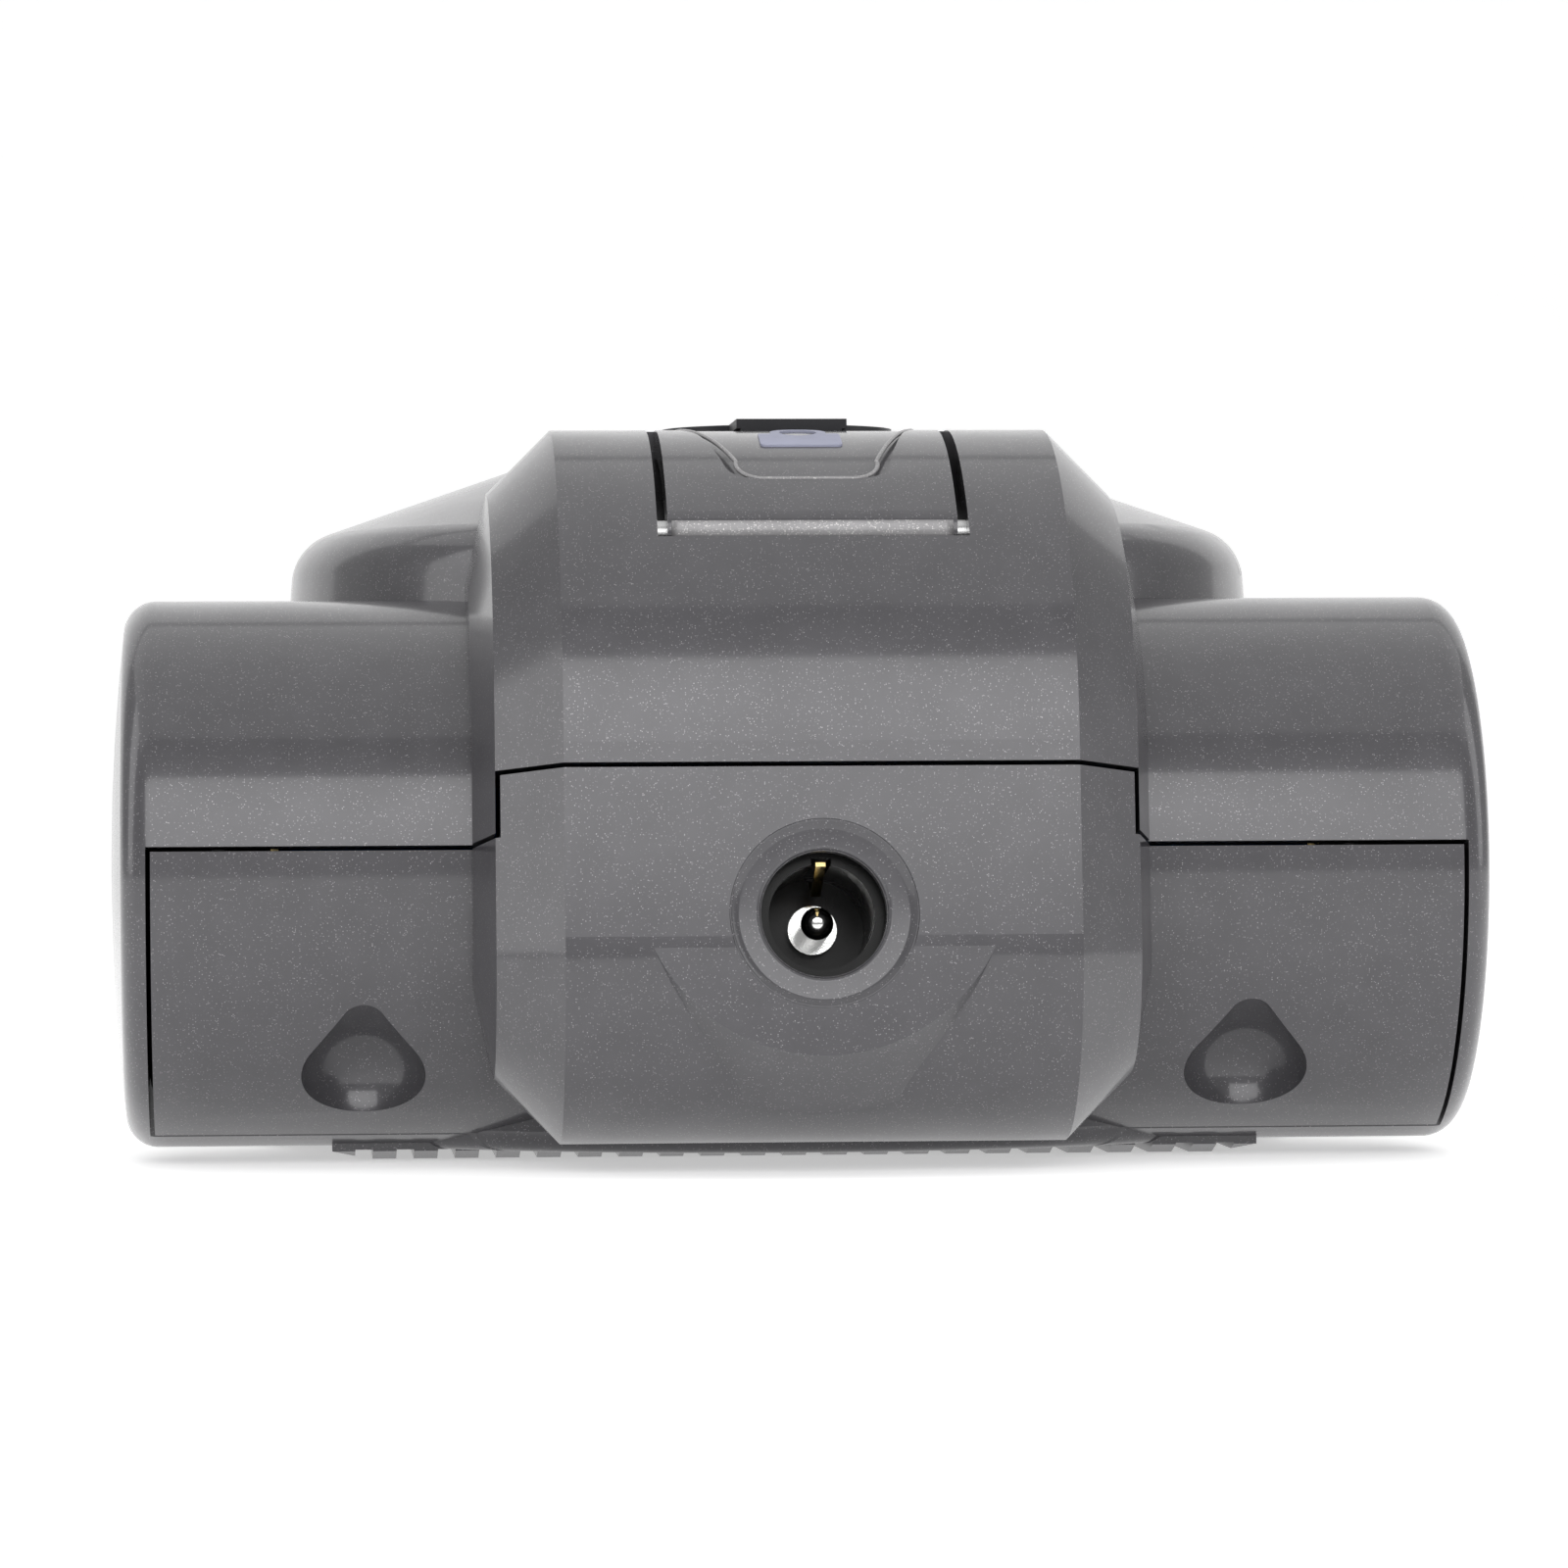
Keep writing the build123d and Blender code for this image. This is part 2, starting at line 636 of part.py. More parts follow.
# ------------------------------------------------------------------ inlet grille
with BuildPart() as inlet_grille:
    add(grille_slab(0, 0, GRILLE_TOP_Z))
    underside = inlet_grille.faces().sort_by(Axis.Z)[0]
    chamfer(underside.edges(), length=GRILLE_BEVEL_W, length2=GRILLE_BEVEL_H, reference=underside)
    with BuildSketch():
        with Locations((0, BLOWER_Y)):
            with GridLocations(SLOT_PITCH, 1, SLOT_COUNT, 1):
                Rectangle(SLOT_WIDE, FAR)
    extrude(amount=RIB_H, mode=Mode.SUBTRACT)
    with BuildSketch():
        with Locations((0, BLOWER_Y)):
            with GridLocations(SLOT_PITCH, 1, SLOT_COUNT, 1):
                Rectangle(SLOT_WIDE, FAR)
            Circle(INLET_R - 1.5, mode=Mode.INTERSECT)
        # A middle bar ties the ribs together.
        with Locations((0, BLOWER_Y)):
            Rectangle(2 * INLET_R, CROSS_BAR, mode=Mode.SUBTRACT)
    extrude(amount=GRILLE_TOP_Z, mode=Mode.SUBTRACT)
finish(inlet_grille, "inlet_grille")

# ------------------------------------------------------------------ latch over the front of the cap
def floor_curve(thickness):
    """A shell on the floor of the finger recess, which fades out towards the front of the latch."""
    with BuildPart() as curve:
        with BuildSketch(Plane.YZ):
            with Locations((SPINE_AXIS_Y + RECESS_SHIFT, SPINE_AXIS_Z)):
                Circle(SPINE_TOP_R + thickness)
                Circle(SPINE_TOP_R, mode=Mode.SUBTRACT)
        extrude(amount=LATCH_HALF, both=True)
    return curve.part


def recess_cutter():
    """The finger recess: wider to the front, deepest at its rear edge."""
    with BuildPart() as cutter:
        with BuildSketch(Plane.XY.offset(SPINE_AXIS_Z)) as plan:
            Polygon(
                (-RECESS_REAR_HALF, RECESS_REAR_Y),
                (RECESS_REAR_HALF, RECESS_REAR_Y),
                (RECESS_FRONT_HALF, LATCH_END_Y + 1),
                (-RECESS_FRONT_HALF, LATCH_END_Y + 1),
                align=None,
            )
            fillet(plan.vertices().group_by(Axis.Y)[0], RECESS_ROUND)
        extrude(amount=FAR)
        add(floor_curve(RECESS_CUT), mode=Mode.INTERSECT)
    return cutter.part


with BuildPart() as latch:
    with BuildSketch(Plane.YZ):
        with Locations((SPINE_AXIS_Y, SPINE_AXIS_Z)):
            Circle(SPINE_TOP_R)
            Circle(SPINE_TOP_R - LATCH_THICK, mode=Mode.SUBTRACT)
        Polygon(
            (SPINE_AXIS_Y, SPINE_AXIS_Z),
            (LATCH_END_Y, SPINE_AXIS_Z),
            (LATCH_END_Y, SPINE_AXIS_Z + 2 * SPINE_TOP_R),
            (3 * PIVOT_Y - 2 * SPINE_AXIS_Y, 3 * PIVOT_Z - 2 * SPINE_AXIS_Z),
            align=None,
            mode=Mode.INTERSECT,
        )
        with Locations((PIVOT_Y, PIVOT_Z)):
            Circle(KNUCKLE_R)
    extrude(amount=LATCH_HALF, both=True)
    # A window in the knuckle leaves room for the spring, under an unbroken skin.
    with BuildSketch(Plane.YZ):
        with Locations((PIVOT_Y, PIVOT_Z)):
            Circle(KNUCKLE_R + FIT)
        with Locations((SPINE_AXIS_Y, SPINE_AXIS_Z)):
            Circle(PIVOT_R - FIT, mode=Mode.INTERSECT)
        with Locations((PIVOT_Y, PIVOT_Z)):
            Circle(TORSION_ROOM_R)
    extrude(amount=TORSION_ROOM_HALF, both=True, mode=Mode.SUBTRACT)
    with BuildSketch(Plane.YZ):
        with Locations((PIVOT_Y, PIVOT_Z)):
            Circle(LATCH_PIN_R + PIN_FIT)
    extrude(amount=LATCH_HALF, both=True, mode=Mode.SUBTRACT)
    add(recess_cutter(), mode=Mode.SUBTRACT)
    # The nose reaches forward into the front wall of the well, under the cap's hook.
    with BuildSketch(Plane.XY.offset(NOSE_LOW_Z)):
        with Locations((0, (LATCH_END_Y - 1 + NOSE_END_Y) / 2)):
            Rectangle(2 * HOOK_HALF, NOSE_END_Y - LATCH_END_Y + 1)
    extrude(amount=NOSE_HIGH_Z - NOSE_LOW_Z)
finish(latch, "latch")

# A closed-padlock sign, inlaid proud of the recess floor.
with BuildPart() as lock_symbol:
    with BuildSketch(Plane.XY.offset(SPINE_AXIS_Z)):
        with Locations((0, (LOCK_LOW_Y + LOCK_TOP_Y) / 2)):
            RectangleRounded(2 * LOCK_HALF, LOCK_TOP_Y - LOCK_LOW_Y, LOCK_LINE / 2)
        with Locations((0, LOCK_LOOP_Y - LOCK_LOOP_HALF)):
            Circle(LOCK_LOOP_HALF)
            Circle(LOCK_LOOP_HALF - LOCK_LINE, mode=Mode.SUBTRACT)
        with Locations((0, (LOCK_TOP_Y + LOCK_LOOP_Y - LOCK_LOOP_HALF) / 2)):
            legs_height = LOCK_LOOP_Y - LOCK_LOOP_HALF - LOCK_TOP_Y
            Rectangle(2 * (LOCK_LOOP_HALF - LOCK_LINE), legs_height, mode=Mode.SUBTRACT)
    extrude(amount=FAR)
    add(floor_curve(LOCK_PROUD), mode=Mode.INTERSECT)
finish(lock_symbol, "lock_symbol")

with BuildPart() as latch_pin:
    with BuildSketch(Plane.YZ):
        with Locations((PIVOT_Y, PIVOT_Z)):
            Circle(LATCH_PIN_R)
    extrude(amount=PIN_HALF, both=True)
finish(latch_pin, "latch_pin")

toward_axis = Vector(0, SPINE_AXIS_Y - PIVOT_Y, SPINE_AXIS_Z - PIVOT_Z)
coil_base = Plane(origin=(-TORSION_HALF, PIVOT_Y, PIVOT_Z), x_dir=toward_axis, z_dir=(1, 0, 0))
with BuildPart() as latch_spring:
    torsion_pitch = 2 * TORSION_HALF / TORSION_TURNS
    add(coil(coil_base, TORSION_R, TORSION_WIRE_R, torsion_pitch, 2 * TORSION_HALF, TORSION_LEG))
finish(latch_spring, "latch_spring")

# ------------------------------------------------------------------ air outlet
OUTLET = Plane(origin=(0, OUTLET_Y, 0))

with BuildPart() as outlet_collar:
    with BuildSketch(OUTLET.offset(COLLAR_FOOT_Z)):
        Circle(COLLAR_BARREL_R)
    extrude(amount=COLLAR_TOP_Z - COLLAR_FOOT_Z)
    with BuildSketch(OUTLET.offset(FLANGE_Z)):
        Circle(COLLAR_R)
    extrude(amount=COLLAR_TOP_Z - FLANGE_Z)
    # Two ears hold the ends of the cap's hinge pin.
    with BuildSketch(Plane.XY.offset(FLANGE_Z)):
        for side in (-1, 1):
            with Locations((side * (EAR_IN + EAR_OUT) / 2, (OUTLET_Y + BORE_R + CAP_HINGE_Y) / 2)):
                Rectangle(EAR_OUT - EAR_IN, CAP_HINGE_Y - OUTLET_Y - BORE_R)
    extrude(amount=COLLAR_TOP_Z - FLANGE_Z)
    for side in (-1, 1):
        with BuildSketch(Plane.YZ.offset(side * EAR_IN)):
            with Locations((CAP_HINGE_Y, CAP_HINGE_Z)):
                Circle(CAP_KNUCKLE_R)
        extrude(amount=side * (EAR_OUT - EAR_IN))
    with BuildSketch(Plane.YZ):
        with Locations((CAP_HINGE_Y, CAP_HINGE_Z)):
            Circle(CAP_PIN_R + PIN_FIT)
    extrude(amount=EAR_OUT, both=True, mode=Mode.SUBTRACT)
    with BuildSketch(OUTLET.offset(COLLAR_FOOT_Z)):
        Circle(BORE_R)
    extrude(amount=FAR, mode=Mode.SUBTRACT)
    with BuildSketch(OUTLET.offset(MOUTH_Z)):
        Circle(MOUTH_R)
    extrude(amount=FAR, mode=Mode.SUBTRACT)
finish(outlet_collar, "outlet_collar")

with BuildPart() as outlet_cap:
    with BuildSketch(Plane.XY.offset(CAP_Z)):
        with Locations((0, OUTLET_Y)):
            Circle(COLLAR_R)
        with Locations((0, (OUTLET_Y + TAB_END_Y) / 2)):
            Rectangle(2 * TAB_HALF, OUTLET_Y - TAB_END_Y)
        with Locations((0, (OUTLET_Y + CAP_HINGE_Y) / 2)):
            Rectangle(2 * CAP_KNUCKLE_HALF, CAP_HINGE_Y - OUTLET_Y)
    extrude(amount=CAP_TOP_Z - CAP_Z)
    with BuildSketch(OUTLET.offset(CAP_Z)):
        Circle(PLUG_R)
        Circle(PLUG_R - PLUG_WALL, mode=Mode.SUBTRACT)
    extrude(amount=PLUG_Z - CAP_Z)
    with BuildSketch(Plane.XY.offset(CAP_Z)):
        with Locations((0, TAB_END_Y + HOOK_LONG / 2)):
            Rectangle(2 * HOOK_HALF, HOOK_LONG)
    extrude(amount=HOOK_Z - CAP_Z)
    with BuildSketch(Plane.YZ):
        with Locations((CAP_HINGE_Y, CAP_HINGE_Z)):
            Circle(CAP_KNUCKLE_R)
    extrude(amount=CAP_KNUCKLE_HALF, both=True)
    with BuildSketch(Plane.YZ):
        with Locations((CAP_HINGE_Y, CAP_HINGE_Z)):
            Circle(CAP_PIN_R + FIT)
    extrude(amount=CAP_KNUCKLE_HALF, both=True, mode=Mode.SUBTRACT)
finish(outlet_cap, "outlet_cap")

with BuildPart() as cap_pin:
    with BuildSketch(Plane.YZ):
        with Locations((CAP_HINGE_Y, CAP_HINGE_Z)):
            Circle(CAP_PIN_R)
    extrude(amount=EAR_OUT, both=True)
finish(cap_pin, "cap_pin")

# ------------------------------------------------------------------ blower
MIDDLE = Plane(origin=(0, BLOWER_Y, 0))

with BuildPart() as fan_deck:
    with BuildSketch(MIDDLE.offset(DECK_Z)):
        Circle(DECK_R)
        Circle(EYE_OUT_R, mode=Mode.SUBTRACT)
        Circle(EYE_IN_R)
        with PolarLocations((EYE_IN_R + EYE_OUT_R) / 2, SPOKE_COUNT, start_angle=45):
            Rectangle(EYE_OUT_R - EYE_IN_R + SPOKE, SPOKE)
        Circle(BOSS_HOLE_R, mode=Mode.SUBTRACT)
    extrude(amount=DECK_TOP_Z - DECK_Z)
    with BuildSketch(MIDDLE.offset(DECK_TOP_Z)):
        Circle(SHROUD_R)
        Circle(SHROUD_R - SHROUD_WALL, mode=Mode.SUBTRACT)
    extrude(amount=SHROUD_TOP_Z - DECK_TOP_Z)
finish(fan_deck, "fan_deck")


def blade_outline():
    """One backward-curved blade, from its root at the fairing to the impeller's rim."""
    sweep_angle = radians(BLADE_SWEEP)
    root = Vector(BLADE_IN_R, 0)
    tip_r = IMPELLER_R - BLADE_THICK
    tip = Vector(tip_r * cos(sweep_angle), -tip_r * sin(sweep_angle))
    bow_r = (BLADE_IN_R + tip_r) / 2
    bow = Vector(bow_r * cos(sweep_angle * BLADE_BOW), -bow_r * sin(sweep_angle * BLADE_BOW))
    with BuildLine():
        centre_line = ThreePointArc(root, bow, tip)
    with BuildSketch() as blade:
        SlotArc(centre_line.edge(), BLADE_THICK)
    return blade.sketch


with BuildPart() as impeller:
    with BuildSketch(MIDDLE.offset(PLATE_Z)):
        Circle(IMPELLER_R)
    extrude(amount=PLATE_TOP_Z - PLATE_Z)
    one_blade = blade_outline()
    with BuildSketch(MIDDLE.offset(BLADE_Z)):
        for index in range(BLADE_COUNT):
            add(one_blade.rotate(Axis.Z, index * 360 / BLADE_COUNT))
    extrude(amount=PLATE_Z - BLADE_Z)
    # The hub flares into the plate, so the air turns outwards.
    with BuildSketch(MIDDLE.offset(BLADE_Z)):
        Circle(HUB_R)
    with BuildSketch(MIDDLE.offset(PLATE_Z)):
        Circle(FAIRING_R)
    loft()
    with BuildSketch(MIDDLE.offset(BLADE_Z)):
        Circle(SHAFT_R)
    extrude(amount=PLATE_TOP_Z - BLADE_Z, mode=Mode.SUBTRACT)
finish(impeller, "impeller")

with BuildPart() as motor_shaft:
    with BuildSketch(MIDDLE.offset(SHAFT_Z)):
        Circle(SHAFT_R)
    extrude(amount=SHAFT_TOP_Z - SHAFT_Z)
    chamfer(motor_shaft.edges().filter_by(GeomType.CIRCLE), SHAFT_R / 4)
finish(motor_shaft, "motor_shaft")

with BuildPart() as motor_can:
    with BuildSketch(MIDDLE.offset(MOTOR_Z)):
        Circle(MOTOR_R)
    extrude(amount=DECK_Z - MOTOR_Z)
    fillet(motor_can.edges().filter_by(GeomType.CIRCLE), WALL / 2)
    with BuildSketch(MIDDLE.offset(DECK_Z)):
        Circle(BOSS_R)
    extrude(amount=BOSS_TOP_Z - DECK_Z)
    with BuildSketch(MIDDLE.offset(MOTOR_Z)):
        Circle(SHAFT_R + FIT)
    extrude(amount=BOSS_TOP_Z - MOTOR_Z, mode=Mode.SUBTRACT)
finish(motor_can, "motor_can")

with BuildPart() as motor_end_cap:
    with BuildSketch(MIDDLE.offset(END_CAP_Z)):
        Circle(END_CAP_R)
        Circle(SHAFT_R + FIT, mode=Mode.SUBTRACT)
    extrude(amount=MOTOR_Z - END_CAP_Z)
finish(motor_end_cap, "motor_end_cap")

with BuildPart() as motor_lugs:
    with BuildSketch(MIDDLE.offset(LUG_Z)):
        with Locations((-LUG_X, 0), (LUG_X, 0)):
            Rectangle(LUG_THICK, LUG_WIDE)
    extrude(amount=END_CAP_Z - LUG_Z)
finish(motor_lugs, "motor_lugs")

# ------------------------------------------------------------------ battery
with BuildPart() as battery_cell:
    with BuildSketch(Plane.YZ.offset(-CELL_HALF)):
        with Locations((CELL_Y, CELL_Z)):
            Circle(CELL_R)
    extrude(amount=2 * CELL_HALF - CELL_NUB)
    fillet(battery_cell.edges().filter_by(GeomType.CIRCLE), CELL_ROUND)
    with BuildSketch(Plane.YZ.offset(CELL_HALF - CELL_NUB)):
        with Locations((CELL_Y, CELL_Z)):
            Circle(CELL_NUB_R)
    extrude(amount=CELL_NUB)
finish(battery_cell, "battery_cell")


def jack_plane(depth):
    """The rear face's plane, moved this deep into the pump."""
    return REAR_PLANE.offset(-depth)


def board_arm():
    """The cradle's arm to the rear, planed off along the underside of the charging board."""
    under_board = REAR_PLANE.from_local_coords((0, -JACK_FOOT - BOARD_THICK, 0))
    with BuildPart() as arm:
        with BuildSketch(Plane.XY.offset(ARM_Z)):
            with Locations((0, (ARM_REAR_Y + RAIL_FRONT_Y) / 2)):
                Rectangle(2 * ARM_HALF, RAIL_FRONT_Y - ARM_REAR_Y)
        extrude(amount=SADDLE_TOP_Z - ARM_Z)
        with BuildSketch(Plane(origin=under_board, x_dir=(1, 0, 0), z_dir=PARTING_NORMAL)):
            Rectangle(2 * FAR, 2 * FAR)
        extrude(amount=FAR, mode=Mode.SUBTRACT)
    return arm.part


with BuildPart() as battery_cradle:
    saddle_y = (CRADLE_REAR_Y + CRADLE_FRONT_Y) / 2
    for side in (-1, 1):
        with BuildSketch(Plane.XY.offset(FLOOR_Z)):
            with Locations((side * SADDLE_X, saddle_y)):
                Rectangle(SADDLE_THICK, CRADLE_FRONT_Y - CRADLE_REAR_Y)
        extrude(amount=SADDLE_TOP_Z - FLOOR_Z)
        wall_x = side * (END_WALL_X + END_WALL_THICK / 2)
        with BuildSketch(Plane.XY.offset(FLOOR_Z)):
            with Locations((wall_x, (CRADLE_REAR_Y + END_WALL_FRONT_Y) / 2)):
                Rectangle(END_WALL_THICK, END_WALL_FRONT_Y - CRADLE_REAR_Y)
        extrude(amount=END_WALL_TOP_Z - FLOOR_Z)
    with BuildSketch(Plane.XY.offset(FLOOR_Z)):
        with Locations((0, (CRADLE_REAR_Y + RAIL_FRONT_Y) / 2)):
            Rectangle(2 * END_WALL_X, RAIL_FRONT_Y - CRADLE_REAR_Y)
    extrude(amount=RAIL_TOP_Z - FLOOR_Z)
    add(board_arm())
    with BuildSketch(Plane.YZ):
        with Locations((CELL_Y, CELL_Z)):
            Circle(CELL_R + FIT)
    extrude(amount=CELL_HALF, both=True, mode=Mode.SUBTRACT)
finish(battery_cradle, "battery_cradle")

with BuildPart() as battery_contacts:
    for side in (-1, 1):
        with BuildSketch(Plane.YZ.offset(side * CONTACT_X)):
            with Locations((CELL_Y, (CONTACT_LOW_Z + CONTACT_TOP_Z) / 2)):
                RectangleRounded(2 * CONTACT_HALF, CONTACT_TOP_Z - CONTACT_LOW_Z, CONTACT_ROUND)
        extrude(amount=side * CONTACT_THICK)
finish(battery_contacts, "battery_contacts")

# ------------------------------------------------------------------ charging jack and its board
with BuildPart() as jack_body:
    with BuildSketch(jack_plane(JACK_FRONT)):
        with Locations((0, (JACK_HALF - JACK_FOOT) / 2)):
            Rectangle(2 * JACK_HALF, JACK_HALF + JACK_FOOT)
    extrude(amount=-(JACK_REAR - JACK_FRONT))
    with BuildSketch(jack_plane(JACK_FRONT)):
        Circle(JACK_BORE_R)
    extrude(amount=-(JACK_BORE_END - JACK_FRONT), mode=Mode.SUBTRACT)
    with BuildSketch(jack_plane(JACK_FRONT)):
        with Locations((0, LEAF_GROOVE_UP / 2)):
            Rectangle(2 * LEAF_GROOVE_HALF, LEAF_GROOVE_UP)
    extrude(amount=-(LEAF_GROOVE_END - JACK_FRONT), mode=Mode.SUBTRACT)
finish(jack_body, "jack_body")

with BuildPart() as jack_pin:
    with BuildSketch(jack_plane(JACK_BORE_END)):
        Circle(JACK_PIN_R)
    extrude(amount=JACK_BORE_END - JACK_PIN_TIP)
    tip_rim = jack_pin.edges().filter_by(GeomType.CIRCLE).sort_by(Axis.Y)[0]
    fillet(tip_rim, JACK_PIN_ROUND)
    with BuildSketch(jack_plane(JACK_BORE_END)):
        Circle(JACK_PIN_BASE_R)
    extrude(amount=JACK_PIN_BASE)
finish(jack_pin, "jack_pin")

# A bent leaf along the top of the socket: (deep, up) corners of its lower side.
LEAF_BENDS = [(2.9, 3.1), (7.4, 1.75), (9.2, 2.6)]
inwards = (0, -REAR_NORMAL[1], -REAR_NORMAL[2])
with BuildPart() as jack_contact:
    with BuildSketch(Plane(origin=REAR_PLANE.origin, x_dir=inwards, z_dir=(1, 0, 0))):
        with BuildLine():
            Polyline(*LEAF_BENDS, *[(deep, up + LEAF_THICK) for deep, up in reversed(LEAF_BENDS)], close=True)
        make_face()
    extrude(amount=LEAF_HALF, both=True)
finish(jack_contact, "jack_contact")

with BuildPart() as charge_board:
    with BuildSketch(jack_plane(BOARD_FRONT)):
        with Locations((0, -JACK_FOOT - BOARD_THICK / 2)):
            Rectangle(2 * BOARD_HALF, BOARD_THICK)
    extrude(amount=-(BOARD_REAR - BOARD_FRONT))
finish(charge_board, "charge_board")

# (x, middle depth, width, length, height) of the parts on the board: a choke and two chips.
BOARD_PARTS = [(-9.0, 8.2, 5.6, 5.6, 3.0), (8.6, 6.6, 4.2, 3.8, 1.0), (8.6, 11.2, 3.0, 2.0, 1.1)]
with BuildPart() as board_components:
    for x, deep, wide, long, high in BOARD_PARTS:
        with BuildSketch(jack_plane(deep - long / 2)):
            with Locations((x, high / 2 - JACK_FOOT)):
                Rectangle(wide, high)
        extrude(amount=-long)
finish(board_components, "board_components")

# ------------------------------------------------------------------ power button, its board and the two lamps
def front_plane(y):
    """A cross plane with its normal to the rear: local x is the width and local y is the height."""
    return Plane(origin=(0, y, 0), x_dir=(1, 0, 0), z_dir=(0, -1, 0))


with BuildPart() as power_button:
    with BuildSketch(front_plane(BUTTON_FACE_Y)):
        with Locations((0, BUTTON_Z)):
            Circle(BUTTON_R)
    extrude(amount=BUTTON_FACE_Y - BUTTON_FLANGE_REAR_Y)
    fillet(power_button.edges().filter_by(GeomType.CIRCLE).sort_by(Axis.Y)[-1], BUTTON_ROUND)
    with BuildSketch(front_plane(BUTTON_FLANGE_Y)):
        with Locations((0, BUTTON_Z)):
            Circle(BUTTON_FLANGE_R)
    extrude(amount=BUTTON_FLANGE_Y - BUTTON_FLANGE_REAR_Y)
    with BuildSketch(front_plane(BUTTON_FLANGE_REAR_Y)):
        with Locations((0, BUTTON_Z)):
            Circle(BUTTON_STEM_R)
    extrude(amount=BUTTON_FLANGE_REAR_Y - BUTTON_STEM_Y)
finish(power_button, "power_button")

spring_seat = front_plane(BUTTON_FLANGE_REAR_Y - RETURN_WIRE_R - FIT)
spring_base = Plane(origin=spring_seat.from_local_coords((0, BUTTON_Z, 0)), x_dir=(1, 0, 0), z_dir=(0, -1, 0))
with BuildPart() as button_spring:
    add(coil(spring_base, RETURN_R, RETURN_WIRE_R, RETURN_PITCH, RETURN_LONG, 0))
finish(button_spring, "button_spring")

with BuildPart() as button_board:
    with BuildSketch(front_plane(SWITCH_BOARD_FRONT_Y)):
        with Locations((0, (SWITCH_BOARD_Z + DECK_Z) / 2)):
            Rectangle(2 * SWITCH_BOARD_HALF, DECK_Z - SWITCH_BOARD_Z)
    extrude(amount=SWITCH_BOARD_FRONT_Y - SWITCH_BOARD_Y)
finish(button_board, "button_board")

with BuildPart() as button_switch:
    with BuildSketch(front_plane(SWITCH_FRONT_Y)):
        with Locations((0, BUTTON_Z)):
            RectangleRounded(2 * SWITCH_HALF, 2 * SWITCH_HALF, SWITCH_ROUND)
    extrude(amount=SWITCH_FRONT_Y - SWITCH_BOARD_FRONT_Y)
    with BuildSketch(front_plane(PLUNGER_FRONT_Y)):
        with Locations((0, BUTTON_Z)):
            Circle(PLUNGER_R)
    extrude(amount=PLUNGER_FRONT_Y - SWITCH_FRONT_Y)
finish(button_switch, "button_switch")

with BuildPart() as button_leds:
    with BuildSketch(front_plane(LED_FRONT_Y)):
        with Locations(*LENS_PLACES):
            Rectangle(2 * LED_HALF, 2 * LED_HALF)
    extrude(amount=LED_FRONT_Y - SWITCH_BOARD_FRONT_Y)
finish(button_leds, "button_leds")

with BuildPart() as status_lens:
    with BuildSketch(front_plane(LENS_FACE_Y)):
        with Locations(*LENS_PLACES):
            Circle(LENS_R)
    extrude(amount=LENS_FACE_Y - LENS_REAR_Y)
    fillet(status_lens.faces().sort_by(Axis.Y)[-2:].edges(), LENS_R / 2)
finish(status_lens, "status_lens")

# ------------------------------------------------------------------ housing screws
with BuildPart() as housing_screws:
    with BuildSketch(Plane.XY.offset(SCREW_SEAT_Z - SCREW_HEAD_H)):
        with Locations(*POST_PLACES):
            Circle(SCREW_HEAD_R)
    extrude(amount=SCREW_HEAD_H)
    fillet(housing_screws.edges().filter_by(GeomType.CIRCLE).group_by(Axis.Z)[0], SCREW_HEAD_H / 3)
    with BuildSketch(Plane.XY.offset(SCREW_SEAT_Z)):
        with Locations(*POST_PLACES):
            Circle(SCREW_R)
    extrude(amount=SCREW_TIP_Z - SCREW_SEAT_Z)
    slot_wide, slot_long, slot_deep = SCREW_SLOT
    with BuildSketch(Plane.XY.offset(SCREW_SEAT_Z - SCREW_HEAD_H)):
        with Locations(*POST_PLACES):
            Rectangle(slot_wide, slot_long)
            Rectangle(slot_long, slot_wide)
    extrude(amount=slot_deep, mode=Mode.SUBTRACT)
finish(housing_screws, "housing_screws")
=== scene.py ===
"""Looks of a hand-held electric air pump for airbeds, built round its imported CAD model.

Lengths are in metres.  +Z is up, +Y is the front with the power button, and the charging socket is at the rear.
"""

import json
import math

import bpy
import numpy as np
from mathutils import Matrix, Vector


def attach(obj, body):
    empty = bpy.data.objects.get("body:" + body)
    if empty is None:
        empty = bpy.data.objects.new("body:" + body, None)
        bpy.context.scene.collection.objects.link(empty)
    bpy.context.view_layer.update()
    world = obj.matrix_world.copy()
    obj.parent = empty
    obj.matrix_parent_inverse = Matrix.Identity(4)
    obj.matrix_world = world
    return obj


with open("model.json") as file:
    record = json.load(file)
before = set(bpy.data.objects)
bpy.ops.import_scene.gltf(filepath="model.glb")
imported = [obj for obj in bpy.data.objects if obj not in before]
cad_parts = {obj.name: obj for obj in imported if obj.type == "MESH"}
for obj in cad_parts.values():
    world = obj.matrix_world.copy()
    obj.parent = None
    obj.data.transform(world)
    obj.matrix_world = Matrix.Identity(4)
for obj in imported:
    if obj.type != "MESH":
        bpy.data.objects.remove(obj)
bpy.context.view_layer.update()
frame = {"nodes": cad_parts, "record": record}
nodes = frame["nodes"]

MM = 0.001

# Places that the CAD pieces share, in millimetres.
JACK_AXIS_Y, JACK_AXIS_Z = -41.7, 15.9
FACE_LEAN = math.radians(7.0)
SPINE_AXIS_Y, SPINE_AXIS_Z, SPINE_R = -18.201, 23.482, 22.4
LATCH_PIVOT_Y, LATCH_PIVOT_Z, KNUCKLE_R = -31.851, 38.910, 1.8
LATCH_HALF = 8.6
RECESS_REAR_Y, RECESS_REAR_HALF, RECESS_ROUND = -30.2, 4.8, 1.6
RECESS_FRONT_Y, RECESS_FRONT_HALF = -18.0, 7.65


